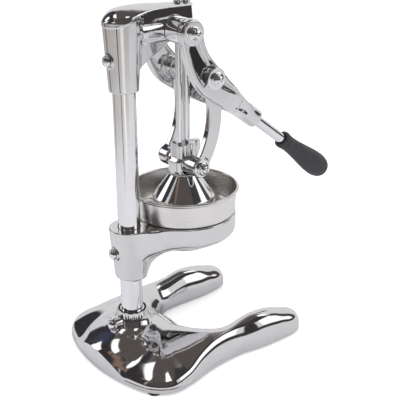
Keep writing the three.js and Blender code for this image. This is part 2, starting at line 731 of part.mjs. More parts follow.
function makeHead() {
  const hood = skin(hoodShares.map(hoodSection));
  const socket = cylinderZ(headSocketFootRadius, headFoot, headSocketTop, 0, 0, fineFacets, headSocketTopRadius);
  const crownFill = cylinderZ(headSocketTopRadius, headSocketTop, hoodRearEdge + overrun, 0, 0, fineFacets);
  const web = new THREE.Shape();
  web.moveTo(0, headFoot + webFootRise);
  web.lineTo(headSocketFootRadius, headFoot + webFootRise);
  web.lineTo(topPivot.x - bossRadius, topPivot.z - bossRadius * 1.6);
  web.lineTo(topPivot.x + bossRadius, topPivot.z - bossRadius * 0.8);
  web.lineTo(headFront - overrun, hoodFrontEdge - beamDepth);
  web.lineTo(headFront - overrun, hoodFrontEdge + overrun);
  web.lineTo(0, hoodFrontEdge - overrun);
  const beam = block([headSocketTopRadius * 0.6, -beamHalfWidth, hoodFrontEdge - beamDepth],
    [headFront - overrun / 2, beamHalfWidth, hoodFrontEdge + overrun / 2]);
  const rib = cylinderX(ribRadius, 0, topPivot.x, topPivot.z - overrun, mediumFacets);
  const boss = cylinderY(bossRadius, -bossHalfLength, bossHalfLength, topPivot, mediumFacets);
  const pads = rodPlaces().map(([, x]) => cylinderZ(guidePadRadius, hoodFrontEdge - overrun, guidePadHeight, x, 0, smallFacets));
  const screwBoss = cylinderX(screwBossRadius, -headSocketTopRadius + screwBossInset, 0, headScrewHeight, smallFacets);
  const bore = cylinderZ(postRadius + fitGap, headFoot - overrun, postTop + fitGap, 0, 0, fineFacets);
  const shaft = cylinderY(pivotShaftRadius + fitGap, -hoodHalfWidth, hoodHalfWidth, topPivot, smallFacets);
  const guides = rodPlaces().map(([, x]) => cylinderZ(rodRadius + fitGap, topPivot.z - bossRadius * 2, guidePadHeight + overrun, x, 0, smallFacets));
  const tap = cylinderX(screwShankRadius + fitGap, -headSocketTopRadius - screwBossRadius, 0, headScrewHeight, smallFacets);
  const reliefs = [-1, 1].map((side) => mirrored(cylinderY(collarRadius + fitGap, bossHalfLength, hoodHalfWidth, topPivot), side));
  const body = join(hood, socket, crownFill, plate(web, -webHalfThickness, webHalfThickness), beam, rib, boss, ...pads, screwBoss);
  addPiece('head_casting', cut(body, bore, shaft, ...guides, tap, ...reliefs), castChrome);
  addSetScrew('head_set_screw', -headSocketTopRadius + screwBossInset, headScrewHeight);
}

// Pivot hardware, made along +Y and mirrored for the left side

function ring(outer, inner, low, high, place, facets = mediumFacets) {
  return cut(cylinderY(outer, low, high, place, facets), cylinderY(inner, low - overrun, high + overrun, place, smallFacets));
}

function domeNut(place, start, pinRadius) {
  const profile = [[0, start + nutThread], [pinRadius + fitGap, start + nutThread], [pinRadius + fitGap, start], [nutRadius, start],
    [nutRadius, start + nutSkirt], [nutRadius * 0.9, start + mix(nutSkirt, nutHeight, 0.42)],
    [nutRadius * 0.7, start + mix(nutSkirt, nutHeight, 0.8)], [nutRadius * 0.36, start + nutHeight], [0, start + nutHeight]];
  const geometry = new THREE.LatheGeometry(profile.map(([r, h]) => new THREE.Vector2(r, h)), smallFacets);
  return geometry.translate(place.x, 0, place.z);
}

function mirrored(geometry, side) {
  return side < 0 ? geometry.scale(1, -1, 1) : geometry;
}

const armOuter = armInner + armThickness;
const outerWasherStart = armOuter + fitGap;
const outerNutStart = outerWasherStart + washerThickness + fitGap;
const linkOuter = linkInner + linkThickness;
const lowWasherStart = linkOuter + fitGap;
const lowNutStart = lowWasherStart + washerThickness + fitGap;

function makeTopPivot() {
  const end = outerNutStart + nutThread - fitGap;
  addPiece('top_pivot_shaft', cylinderY(pivotShaftRadius, -end, end, topPivot, smallFacets), chrome);
  for (const [name, side] of sides) {
    const collar = ring(collarRadius, pivotShaftRadius + fitGap, bossHalfLength + fitGap, armInner - fitGap, topPivot);
    addPiece(`pivot_collar_${name}`, mirrored(collar, side), chrome);
    const washer = ring(topWasherRadius, pivotShaftRadius + fitGap, outerWasherStart, outerWasherStart + washerThickness, topPivot);
    addPiece(`top_washer_${name}`, mirrored(washer, side), chrome);
    addPiece(`top_nut_${name}`, mirrored(domeNut(topPivot, outerNutStart, pivotShaftRadius), side), chrome);
  }
}

function makeMidPivots() {
  for (const [name, side] of sides) {
    const head = cylinderY(boltHeadRadius, linkTopInner - fitGap - boltHeadHeight, linkTopInner - fitGap, midPivot, smallFacets);
    const shank = cylinderY(pivotPinRadius, linkTopInner - boltHeadHeight, outerNutStart + nutThread - fitGap, midPivot, smallFacets);
    addPiece(`mid_bolt_${name}`, mirrored(join(head, shank), side), chrome);
    const washer = ring(midWasherRadius, pivotPinRadius + fitGap, outerWasherStart, outerWasherStart + washerThickness, midPivot);
    addPiece(`mid_washer_${name}`, mirrored(washer, side), chrome);
    addPiece(`mid_nut_${name}`, mirrored(domeNut(midPivot, outerNutStart, pivotPinRadius), side), chrome);
  }
}

function makeLowPivots() {
  for (const [name, side] of sides) {
    const pin = cylinderY(pivotPinRadius, neckFootRadius + fitGap, lowNutStart + nutThread - fitGap, lowPivot, smallFacets);
    addPiece(`low_pin_${name}`, mirrored(pin, side), chrome);
    const washer = ring(lowWasherRadius, pivotPinRadius + fitGap, lowWasherStart, lowWasherStart + washerThickness, lowPivot);
    addPiece(`low_washer_${name}`, mirrored(washer, side), chrome);
    addPiece(`low_nut_${name}`, mirrored(domeNut(lowPivot, lowNutStart, pivotPinRadius), side), chrome);
  }
}

// Links: flat bars bowed towards the handle, with a boss at each end

function makeLinks() {
  const dx = midPivot.x - lowPivot.x;
  const dz = midPivot.z - lowPivot.z;
  const chord = Math.hypot(dx, dz);
  const radius = (chord ** 2 / 4 + linkBow ** 2) / (2 * linkBow);
  const back = radius - linkBow;
  const normal = { x: dz / chord, z: -dx / chord };
  const centre = {
    x: (midPivot.x + lowPivot.x) / 2 - normal.x * back,
    z: (midPivot.z + lowPivot.z) / 2 - normal.z * back,
  };
  const from = Math.atan2(lowPivot.z - centre.z, lowPivot.x - centre.x);
  const to = Math.atan2(midPivot.z - centre.z, midPivot.x - centre.x);
  const bar = new THREE.Shape();
  bar.absarc(centre.x, centre.z, radius + linkWidth / 2, from, to, false);
  bar.absarc(centre.x, centre.z, radius - linkWidth / 2, to, from, true);
  for (const [name, side] of sides) {
    const solid = join(
      plate(bar, linkInner, linkOuter - fitGap, 14),
      cylinderY(linkTopRadius, linkTopInner, linkOuter, midPivot),
      cylinderY(linkLowRadius, neckFootRadius + fitGap, linkOuter, lowPivot),
    );
    const holes = [midPivot, lowPivot].map((place) => cylinderY(pivotPinRadius + fitGap, 0, armOuter, place, smallFacets));
    addPiece(`link_${name}`, mirrored(cut(solid, ...holes), side), castChrome);
  }
}

// Lever fork: along runs down the handle's axis from the middle pivot, across is square to it, upwards

const handleAxis = { x: Math.cos(handleSlope), z: Math.sin(handleSlope) };

function leverPoint(along, across) {
  return {
    x: midPivot.x + along * handleAxis.x - across * handleAxis.z,
    z: midPivot.z + along * handleAxis.z + across * handleAxis.x,
  };
}

function pointBetween(along, across) {
  const dx = midPivot.x - topPivot.x;
  const dz = midPivot.z - topPivot.z;
  return { x: topPivot.x + along * dx + across * dz, z: topPivot.z + along * dz - across * dx };
}

// Rows of [along, half width, lower depth, upper height, squareness] as shares of the fork's sizes
const yokeShares = [[0.02, 1, 1, 0.78, 8], [0.13, 1, 1, 0.72, 8], [0.25, 0.985, 0.94, 0.68, 7], [0.36, 0.93, 0.86, 0.7, 6],
  [0.48, 0.8, 0.74, 0.75, 5], [0.6, 0.62, 0.6, 0.82, 4], [0.72, 0.44, 0.5, 0.9, 3], [0.83, 0.31, 0.45, 0.97, 2.4],
  [0.9, 0, 0, 1, 2], [1, 0, 0, 1, 2]];
// The arm's edges as shares of the distance between its pivots, along it and square to it
const armRearShares = [[0.28, 0.32], [0.53, 0.39], [0.785, 0.395], [1.095, 0.345]];
const armFrontShares = [[0.84, -0.16], [0.55, -0.03], [0.28, -0.1]];
const recessShares = [[0.28, 0.19], [0.5, 0.25], [0.68, 0.28], [0.8, 0.17], [0.77, 0.01], [0.5, 0.02], [0.3, -0.06]];

function yokeRing([along, wide, low, high, power]) {
  const round = wide === 0;
  const halfWidth = round ? handleSocketRadius : Math.max(wide * armOuter, handleSocketRadius);
  const lower = round ? handleSocketRadius : Math.max(low * forkDepth, handleSocketRadius);
  const upper = handleSocketRadius * high;
  const middle = (upper - lower) / 2;
  const halfHeight = (upper + lower) / 2;
  const points = [];
  for (let k = 0; k < mediumFacets; k += 1) {
    const angle = Math.PI * 2 * (k + 0.5) / mediumFacets;
    const [c, s] = [Math.cos(angle), Math.sin(angle)];
    const reach = (Math.abs(c) ** power + Math.abs(s) ** power) ** (-1 / power);
    const place = leverPoint(along * forkLength, middle + halfHeight * reach * s);
    points.push(new THREE.Vector3(place.x, halfWidth * reach * c, place.z));
  }
  return points;
}

function makeFork() {
  const arm = new THREE.Shape();
  const reach = Math.hypot(midPivot.x - topPivot.x, midPivot.z - topPivot.z);
  const lean = Math.atan2(midPivot.z - topPivot.z, midPivot.x - topPivot.x);
  arm.absarc(topPivot.x, topPivot.z, armTopRadius, lean + Math.PI / 2, lean + Math.PI * 1.5, false);
  const rear = armRearShares.map((share) => pointBetween(...share));
  const front = armFrontShares.map((share) => pointBetween(...share));
  const end = leverPoint(forkLength * 0.13, -forkDepth * 0.96);
  const upper = leverPoint(forkLength * 0.13, armMidRadius * 0.55);
  arm.splineThru([...rear, end].map((point) => new THREE.Vector2(point.x, point.z)));
  arm.lineTo(upper.x, upper.z);
  arm.splineThru(front.map((point) => new THREE.Vector2(point.x, point.z)));
  const slot = new THREE.Shape();
  slot.moveTo(-reach * 2, -armInner);
  slot.lineTo(forkSlotStraight, -armInner);
  slot.bezierCurveTo(mix(forkSlotStraight, forkCrotch, 0.7), -armInner, forkCrotch, -armInner * 0.6, forkCrotch, 0);
  slot.bezierCurveTo(forkCrotch, armInner * 0.6, mix(forkSlotStraight, forkCrotch, 0.7), armInner, forkSlotStraight, armInner);
  slot.lineTo(-reach * 2, armInner);
  const gap = new THREE.ExtrudeGeometry(slot, { depth: reach * 3, bevelEnabled: false, curveSegments: 8 });
  gap.translate(0, 0, -reach * 1.5).rotateY(-handleSlope).translate(midPivot.x, 0, midPivot.z);
  const socketEnd = leverPoint(forkLength, 0);
  const bore = alongHandle(rodHandleRadius + fitGap, forkLength - handleSocketDepth, forkLength + overrun);
  const recess = new THREE.Shape(recessShares.map((share) => pointBetween(...share)).map((point) => new THREE.Vector2(point.x, point.z)));
  const tools = [gap, bore];
  for (const side of [-1, 1]) {
    tools.push(mirrored(plate(recess, armOuter - armRecess, armOuter + overrun), side));
    for (const [place, radius] of [[topPivot, pivotShaftRadius], [midPivot, pivotPinRadius]]) {
      tools.push(mirrored(cylinderY(radius + fitGap, armInner - overrun, armOuter + overrun, place, smallFacets), side));
    }
  }
  const bosses = cylinderY(armMidRadius, -armOuter, armOuter, midPivot);
  const whole = join(plate(arm, -armOuter, armOuter, 10), skin(yokeShares.map(yokeRing)), bosses);
  addPiece('lever_fork', cut(whole, ...tools), castChrome);
  return socketEnd;
}

// Handle rod, ferrule and grip

function alongHandle(radius, low, high, facets = mediumFacets) {
  const geometry = new THREE.CylinderGeometry(radius, radius, high - low, facets);
  geometry.translate(0, (low + high) / 2, 0);
  return placedOnHandle(geometry);
}

function placedOnHandle(geometry) {
  return geometry.rotateZ(-Math.PI / 2).rotateY(-handleSlope).translate(midPivot.x, 0, midPivot.z);
}

const gripProfileShares = [[0, 1, 0], [0.12, 1, 0.08], [0.35, 1, 0.4], [0.6, 1, 0.8], [0.78, 1, 1], [0.9, 0.93, 0.95], [0.97, 0.7, 0.7], [1, 0.35, 0.35]];

function makeHandle() {
  const gripEnd = gripStart + gripLength;
  addPiece('handle_rod', alongHandle(rodHandleRadius, forkLength - handleSocketDepth + fitGap, gripStart + gripBoreDepth - fitGap), chrome);
  const ferrule = new THREE.LatheGeometry([[rodHandleRadius + fitGap, gripStart], [ferruleRadius * 0.92, gripStart],
    [ferruleRadius, gripStart + ferruleLength / 3], [ferruleRadius, gripStart + ferruleLength],
    [rodHandleRadius + fitGap, gripStart + ferruleLength], [rodHandleRadius + fitGap, gripStart]]
    .map(([r, h]) => new THREE.Vector2(r, h)), mediumFacets);
  addPiece('grip_ferrule', placedOnHandle(ferrule), blackPlastic);
  const start = gripStart + ferruleLength + fitGap;
  const boreEnd = gripStart + gripBoreDepth;
  const outline = gripProfileShares.map(([along, scale, belly]) => [scale * mix(gripMouthRadius, gripBellyRadius, belly),
    mix(start, gripEnd, along)]);
  const profile = [[0, boreEnd], [rodHandleRadius + fitGap, boreEnd], [rodHandleRadius + fitGap, start], ...outline, [0, gripEnd]];
  const grip = new THREE.LatheGeometry(profile.map(([r, h]) => new THREE.Vector2(r, h)), mediumFacets);
  addPiece('handle_grip', placedOnHandle(grip), blackPlastic);
}

makeBase();
makeFeet();
makePost();
makeBracket();
makeBowl();
makeStrainer();
makeReamer();
makePressCone();
makeNeck();
makeRods();
makeHead();
makeTopPivot();
makeMidPivots();
makeLowPivots();
makeLinks();
makeFork();
makeHandle();

// The origin is the middle of the whole press's footprint, on the surface it stands on
const bounds = new THREE.Box3().setFromObject(group);
const middle = bounds.getCenter(new THREE.Vector3());
group.children.forEach((mesh) => mesh.position.set(-middle.x, -middle.y, -bounds.min.z));
group.updateMatrixWorld(true);

export default group;
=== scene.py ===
import math

import bmesh
import bpy
import numpy as np
from mathutils import Matrix, Vector


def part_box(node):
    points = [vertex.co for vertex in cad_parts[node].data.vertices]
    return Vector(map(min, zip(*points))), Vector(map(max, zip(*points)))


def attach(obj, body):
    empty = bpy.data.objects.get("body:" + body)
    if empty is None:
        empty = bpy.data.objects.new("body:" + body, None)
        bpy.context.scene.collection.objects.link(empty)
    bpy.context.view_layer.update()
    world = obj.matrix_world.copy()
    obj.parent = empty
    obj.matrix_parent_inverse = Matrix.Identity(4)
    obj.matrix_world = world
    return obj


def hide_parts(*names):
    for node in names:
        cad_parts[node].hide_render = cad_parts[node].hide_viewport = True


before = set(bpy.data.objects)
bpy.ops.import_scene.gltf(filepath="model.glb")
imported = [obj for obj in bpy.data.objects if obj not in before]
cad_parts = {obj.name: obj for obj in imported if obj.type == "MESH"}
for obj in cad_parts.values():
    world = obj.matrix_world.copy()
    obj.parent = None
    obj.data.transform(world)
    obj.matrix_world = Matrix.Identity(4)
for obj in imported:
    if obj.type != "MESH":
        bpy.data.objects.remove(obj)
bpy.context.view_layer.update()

# Shapes are worked out in millimetres with the post's axis at X = Y = 0 and then moved into the frame
MM = 0.001
post_low, post_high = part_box("post_tube")
POST = ((post_low + post_high) / 2) / MM
SHIFT = np.array([POST.x, POST.y, 0.0])

# Places of the CAD solids: the press's axis along X, the pivots in the XZ plane and the handle's slope
PRESS = 76.5
TOP = (59.0, 377.0)
MID = (89.0, 325.0)
LOW = (PRESS, 224.0)
SLOPE = math.radians(-37.3)
AX = (math.cos(SLOPE), math.sin(SLOPE))

# Sizes that several pieces share: the gap between neighbours, the holes for the post and the pivots, the
# guide rods' distance from the press's axis, the handle's rod and its hole, and the arms' and links' faces
GAP = 0.3
POST_HOLE = 12.8
SHAFT_HOLE, PIN_HOLE = 6.3, 4.3
ROD_AT, ROD_RADIUS = 5.0, 3.9
HANDLE_RADIUS, HANDLE_HOLE = 6.5, 6.8
ARM_FACE, LINK_FACE = 42.0, 32.7

# Set screws: how far behind the post's axis each one's face lies, and its height
SCREWS = {"base": (28.0, 49.0), "bracket": (21.8, 136.0), "head": (18.6, 352.0)}
BOSS_RADIUS, SCREW_HOLE = 8.0, 3.3


def lever(along, across=0.0):
    """A place in the XZ plane, along the handle's axis from the middle pivot and square to it."""
    return (MID[0] + along * AX[0] - across * AX[1], MID[1] + along * AX[1] + across * AX[0])


# Signed distances, in millimetres, negative inside


def smin(a, b, k):
    h = np.clip(0.5 + 0.5 * (b - a) / k, 0, 1)
    return b * (1 - h) + a * h - k * h * (1 - h)


def smax(a, b, k):
    return -smin(-a, -b, k)


def union(k, *fields):
    out = fields[0]
    for f in fields[1:]:
        out = smin(out, f, k)
    return out


def common(k, *fields):
    out = fields[0]
    for f in fields[1:]:
        out = smax(out, f, k)
    return out


def step(x, low, high):
    t = np.clip((x - low) / (high - low), 0, 1)
    return t * t * (3 - 2 * t)


def smooth_curve(x, points):
    """A smooth curve through the points of a table, flat past its ends."""
    xs, ys = np.array(points, float).T
    h = np.diff(xs)
    d = np.diff(ys) / h
    m = np.zeros(len(xs))
    for i in range(1, len(xs) - 1):
        if d[i - 1] * d[i] > 0:
            w1, w2 = 2 * h[i] + h[i - 1], h[i] + 2 * h[i - 1]
            m[i] = (w1 + w2) / (w1 / d[i - 1] + w2 / d[i])
    x = np.clip(x, xs[0], xs[-1])
    i = np.clip(np.searchsorted(xs, x) - 1, 0, len(h) - 1)
    t = (x - xs[i]) / h[i]
    a = (1 + 2 * t) * (1 - t) ** 2 * ys[i] + t * (1 - t) ** 2 * h[i] * m[i]
    return a + t * t * (3 - 2 * t) * ys[i + 1] + t * t * (t - 1) * h[i] * m[i + 1]


def spline(points, count, closed=False):
    """Points along a smooth centripetal curve through the given points."""
    p = np.array(points, float)
    n = len(p)
    if closed:
        q = np.vstack([p[-1], p, p[0], p[1]])
        spans = n
    else:
        q = np.vstack([2 * p[0] - p[1], p, 2 * p[-1] - p[-2]])
        spans = n - 1
    out = []
    for i in range(spans):
        p0, p1, p2, p3 = q[i:i + 4]
        t1 = np.linalg.norm(p1 - p0) ** 0.5 + 1e-9
        t2 = t1 + np.linalg.norm(p2 - p1) ** 0.5 + 1e-9
        t3 = t2 + np.linalg.norm(p3 - p2) ** 0.5 + 1e-9
        for t in np.linspace(t1, t2, count, endpoint=False):
            a1 = (t1 - t) / t1 * p0 + t / t1 * p1
            a2 = (t2 - t) / (t2 - t1) * p1 + (t - t1) / (t2 - t1) * p2
            a3 = (t3 - t) / (t3 - t2) * p2 + (t - t2) / (t3 - t2) * p3
            b1 = (t2 - t) / t2 * a1 + t / t2 * a2
            b2 = (t3 - t) / (t3 - t1) * a2 + (t - t1) / (t3 - t1) * a3
            out.append((t2 - t) / (t2 - t1) * b1 + (t - t1) / (t2 - t1) * b2)
    if not closed:
        out.append(p[-1])
    return np.array(out)


class Outline:
    """The smoothed signed distance to a closed outline in a plane."""

    def __init__(self, points, soft=1.0, cell=0.5, margin=12):
        p = np.array(points, float)
        self.cell = cell
        self.low = p.min(0) - margin
        size = np.ceil((p.max(0) + margin - self.low) / cell).astype(int) + 1
        gx, gy = np.meshgrid(np.arange(size[0]), np.arange(size[1]), indexing="ij")
        grid = np.stack([gx.ravel(), gy.ravel()], 1) * cell + self.low
        best = np.full(len(grid), 1e18)
        inside = np.zeros(len(grid), bool)
        for a, b in zip(p, np.roll(p, -1, 0)):
            e = b - a
            w = grid - a
            t = np.clip((w @ e) / max(e @ e, 1e-12), 0, 1)
            d = w - t[:, None] * e
            best = np.minimum(best, (d * d).sum(1))
            crosses = (a[1] > grid[:, 1]) != (b[1] > grid[:, 1])
            if e[1] != 0:
                inside ^= crosses & (grid[:, 0] < e[0] * (grid[:, 1] - a[1]) / e[1] + a[0])
        field = (np.sqrt(best) * np.where(inside, -1, 1)).reshape(size)
        reach = int(math.ceil(3 * soft / cell))
        weight = np.exp(-0.5 * (np.arange(-reach, reach + 1) * cell / soft) ** 2)
        weight /= weight.sum()
        for axis in (0, 1):
            pad = [(reach, reach) if a == axis else (0, 0) for a in (0, 1)]
            padded = np.pad(field, pad, mode="edge")
            n = field.shape[axis]
            parts = [w * np.take(padded, np.arange(k, k + n), axis) for k, w in enumerate(weight)]
            field = sum(parts)
        self.field = field

    def __call__(self, u, v):
        shape = np.array(self.field.shape)
        g = (np.stack([u, v], 1) - self.low) / self.cell
        limit = shape - 3.001
        held = np.clip(g, 1.0, limit)
        away = np.linalg.norm((g - held) * self.cell, axis=1)
        i = np.floor(held).astype(int)
        t = held - i
        weights = []
        for axis in (0, 1):
            s = t[:, axis]
            weights.append([(1 - s) ** 3 / 6, (3 * s ** 3 - 6 * s ** 2 + 4) / 6,
                            (-3 * s ** 3 + 3 * s ** 2 + 3 * s + 1) / 6, s ** 3 / 6])
        out = np.zeros(len(u))
        for a in range(4):
            row = np.zeros(len(u))
            for b in range(4):
                row += weights[1][b] * self.field[i[:, 0] + a - 1, i[:, 1] + b - 1]
            out += weights[0][a] * row
        return out + away


def from_axis(p, place):
    """Distance from an axis along Y through a place in the XZ plane."""
    return np.hypot(p[:, 0] - place[0], p[:, 2] - place[1])


def beside_rods(p):
    """Distance from the nearer guide rod's axis."""
    x, y = p[:, 0] - PRESS, p[:, 1]
    return np.minimum(np.hypot(x + ROD_AT, y), np.hypot(x - ROD_AT, y))


def screw_boss(p, name):
    """A set screw's boss behind the post, and the hole in it."""
    face, height = SCREWS[name]
    x, away = p[:, 0], np.hypot(p[:, 1], p[:, 2] - height)
    boss = smax(away - BOSS_RADIUS, np.maximum(-face - x, x), 1.2)
    return boss, np.maximum(away - SCREW_HOLE, x + 12)


# From a signed distance to a mesh whose points lie on the surface and whose normals are its slope.
# The field is sampled in blocks of cells, and only in those that the surface may cross.

BLOCK = 6
BATCH = 1500


def skin_of(field, low, high, cell):
    low, high = np.array(low, float), np.array(high, float)
    blocks = np.ceil((high - low) / (cell * BLOCK)).astype(int)
    size = blocks * BLOCK + 1
    values = np.full(size, 1.0, np.float32)
    bx, by, bz = np.meshgrid(*[np.arange(n) for n in blocks], indexing="ij")
    index = np.stack([bx.ravel(), by.ravel(), bz.ravel()], 1)
    near = field(low + (index + 0.5) * BLOCK * cell)
    slack = 1.6
    reach = BLOCK * cell * 0.5 * math.sqrt(3) * slack + cell
    for i, j, k in index[near < -reach] * BLOCK:
        values[i:i + BLOCK + 1, j:j + BLOCK + 1, k:k + BLOCK + 1] = -1.0
    active = index[np.abs(near) <= reach]
    steps = np.arange(BLOCK + 1)
    ox, oy, oz = np.meshgrid(steps, steps, steps, indexing="ij")
    inner = np.stack([ox.ravel(), oy.ravel(), oz.ravel()], 1)
    for part in np.array_split(active, max(1, len(active) // BATCH)):
        nodes = (part[:, None, :] * BLOCK + inner[None]).reshape(-1, 3)
        values[nodes[:, 0], nodes[:, 1], nodes[:, 2]] = field(low + nodes * cell)
    inside = values < 0
    corners = [(a, b, c) for a in (0, 1) for b in (0, 1) for c in (0, 1)]
    nx, ny, nz = size
    count = sum(inside[a:nx - 1 + a, b:ny - 1 + b, c:nz - 1 + c].astype(np.int8) for a, b, c in corners)
    mixed = (count > 0) & (count < 8)
    cells = np.argwhere(mixed)
    number = np.full(mixed.shape, -1, int)
    number[mixed] = np.arange(len(cells))
    total = np.zeros((len(cells), 3))
    hits = np.zeros(len(cells))
    for a in corners:
        for axis in range(3):
            if a[axis]:
                continue
            b = list(a)
            b[axis] = 1
            va = values[cells[:, 0] + a[0], cells[:, 1] + a[1], cells[:, 2] + a[2]]
            vb = values[cells[:, 0] + b[0], cells[:, 1] + b[1], cells[:, 2] + b[2]]
            cross = (va < 0) != (vb < 0)
            t = np.where(cross, va / np.where(cross, va - vb, 1), 0)
            point = np.tile(np.array(a, float), (len(cells), 1))
            point[:, axis] += t
            total[cross] += point[cross]
            hits[cross] += 1
    verts = low + (cells + total / hits[:, None]) * cell
    faces = []
    for axis in range(3):
        b, c = [k for k in range(3) if k != axis]
        one = [slice(None)] * 3
        two = [slice(None)] * 3
        one[axis] = slice(0, size[axis] - 1)
        two[axis] = slice(1, size[axis])
        sign = inside[tuple(one)] != inside[tuple(two)]
        edges = np.argwhere(sign)
        pair = edges[:, [b, c]]
        edges = edges[((pair > 0) & (pair < size[[b, c]] - 1)).all(1)]
        ring = []
        for db, dc in ((-1, -1), (0, -1), (0, 0), (-1, 0)):
            cell_at = edges.copy()
            cell_at[:, b] += db
            cell_at[:, c] += dc
            ring.append(number[cell_at[:, 0], cell_at[:, 1], cell_at[:, 2]])
        quad = np.stack(ring, 1)
        out_first = inside[edges[:, 0], edges[:, 1], edges[:, 2]]
        flip = out_first if axis != 1 else ~out_first
        quad[~flip] = quad[~flip][:, ::-1]
        faces.append(quad)
    faces = np.vstack(faces)
    h = cell * 0.08

    def slope(points):
        g = np.zeros_like(points)
        for axis in range(3):
            d = np.zeros(3)
            d[axis] = h
            g[:, axis] = (field(points + d) - field(points - d)) / (2 * h)
        return g

    for _ in range(3):
        g = slope(verts)
        move = (field(verts) / np.maximum((g * g).sum(1), 1e-4))[:, None] * g
        length = np.linalg.norm(move, axis=1, keepdims=True)
        verts = verts - move * np.minimum(1, 0.6 * cell / np.maximum(length, 1e-9))
    g = slope(verts)
    normals = g / np.maximum(np.linalg.norm(g, axis=1, keepdims=True), 1e-9)
    return verts, faces, normals


# Meshes, as points and faces and, from a signed distance, normals


def outward(verts, faces):
    """The faces wound so that the closed mesh has a positive volume."""
    v = np.asarray(verts, float)
    volume = 0.0
    for f in faces:
        for k in range(1, len(f) - 1):
            volume += v[f[0]] @ np.cross(v[f[k]], v[f[k + 1]])
    return faces if volume > 0 else [list(f)[::-1] for f in faces]


def make(node, mesh, body, finish, weighted=False):
    """The piece that stands for a CAD node, on its body and with a finish."""
    verts, faces, *normals = mesh
    slot, material = finish
    if not normals:
        faces = outward(verts, faces)
    name = f"{node}_skin"
    data = bpy.data.meshes.new(name)
    placed = (np.asarray(verts, float) + SHIFT) * MM
    data.from_pydata(placed.tolist(), [], [list(map(int, f)) for f in faces])
    data.validate(clean_customdata=False)
    data.update()
    data.polygons.foreach_set("use_smooth", [True] * len(data.polygons))
    if normals:
        data.normals_split_custom_set_from_vertices(np.asarray(normals[0], float).tolist())
    obj = bpy.data.objects.new(name, data)
    bpy.context.scene.collection.objects.link(obj)
    data.materials.append(material)
    if weighted:
        obj.modifiers.new("weighted", "WEIGHTED_NORMAL").keep_sharp = False
    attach(obj, body)
    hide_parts(node)
    return obj


def mirrored(mesh):
    """The mesh on the other side of the XZ plane."""
    verts, faces, *normals = mesh
    verts, *normals = [np.asarray(part, float) * (1, -1, 1) for part in (verts, *normals)]
    return verts, [list(face)[::-1] for face in faces], *normals


def make_pair(name, mesh, body, finish, weighted=False):
    """A piece on the right and its mirror image on the left."""
    make(f"{name}_right", mesh, body, finish, weighted)
    make(f"{name}_left", mirrored(mesh), body, finish, weighted)


def rounded(profile, radius=0.5, steps=4):
    """(Radius, height) points with the inner corners rounded; a third value is a corner's own radius."""
    pts = [np.array(p[:2], float) for p in profile]
    radii = [p[2] if len(p) > 2 else radius for p in profile]
    out = [pts[0]]
    for i in range(1, len(pts) - 1):
        a, b, c = pts[i - 1], pts[i], pts[i + 1]
        u, w = a - b, c - b
        lu, lw = np.linalg.norm(u), np.linalg.norm(w)
        u, w = u / lu, w / lw
        angle = math.acos(max(-1, min(1, float(u @ w))))
        if radii[i] <= 0 or angle > math.pi - 0.05:
            out.append(b)
            continue
        cut = min(radii[i] / math.tan(angle / 2), 0.45 * lu, 0.45 * lw)
        start, end = b + u * cut, b + w * cut
        for k in range(steps + 1):
            t = k / steps
            out.append((1 - t) ** 2 * start + 2 * t * (1 - t) * b + t * t * end)
    out.append(pts[-1])
    return np.array(out)


def turned(profile, count, x=0.0, y=0.0, closed=False):
    """A profile turned about a vertical axis. It starts and ends on the axis, or is closed on itself."""
    angle = np.arange(count) * 2 * math.pi / count
    rings, verts, faces = [], [], []
    for r, z in profile:
        start = len(verts)
        if r < 1e-6:
            verts.append((x, y, z))
        else:
            verts.extend(zip(x + r * np.cos(angle), y + r * np.sin(angle), [z] * count))
        rings.append(range(start, len(verts)))
    after = rings[1:] + (rings[:1] if closed else [])
    for a, b in zip(rings, after):
        for k in range(count):
            n = (k + 1) % count
            if len(a) == 1:
                faces.append([a[0], b[n], b[k]])
            elif len(b) == 1:
                faces.append([a[k], a[n], b[0]])
            else:
                faces.append([a[k], a[n], b[n], b[k]])
    return np.array(verts, float), faces


def lathe(points, radius, count, steps=4, x=0.0, y=0.0):
    """A solid turned from points that start and end on the axis, with its corners rounded."""
    return turned(rounded(points, radius, steps), count, x, y)


def lathe_ring(points, radius, count, steps=4, x=0.0):
    """A ring turned from points round its section, with all corners but the first rounded."""
    return turned(rounded([*points, points[0]], radius, steps)[:-1], count, x, closed=True)


def along_y(mesh, place):
    """A turned shape laid from the vertical to +Y, with its axis through a place in the XZ plane."""
    x, y, z = mesh[0].T
    return np.stack([x + place[0], z, place[1] - y], 1), mesh[1]


def along_back(mesh, height):
    """A turned shape laid from the vertical to -X."""
    x, y, z = mesh[0].T
    return np.stack([-z, y, height + x], 1), mesh[1]


def along_handle(mesh):
    """A turned shape laid from the vertical to the handle's axis."""
    x, y, z = mesh[0].T
    place = lever(z, x)
    return np.stack([place[0], y, place[1]], 1), mesh[1]


def joined(*parts):
    """Closed meshes as one."""
    verts, faces, start = [], [], 0
    for v, f in parts:
        verts.append(np.asarray(v, float))
        faces.extend([[k + start for k in face] for face in outward(v, f)])
        start += len(v)
    return np.vstack(verts), faces


# Materials


def add_node(tree, kind, inputs=None, **settings):
    """A new node, each of whose inputs is a value or another node's output."""
    node = tree.nodes.new("ShaderNode" + kind)
    for key, value in settings.items():
        setattr(node, key, value)
    for key, value in (inputs or {}).items():
        if isinstance(value, bpy.types.NodeSocket):
            tree.links.new(value, node.inputs[key])
        else:
            node.inputs[key].default_value = value
    return node


def start_tree(owner):
    """The empty node tree of a material or a world."""
    owner.use_nodes = True
    owner.node_tree.nodes.clear()
    return owner.node_tree


def new_material(name):
    """A material, its node tree and the object's own coordinates there."""
    mat = bpy.data.materials.new(name)
    tree = start_tree(mat)
    return mat, tree, add_node(tree, "TexCoord").outputs["Object"]


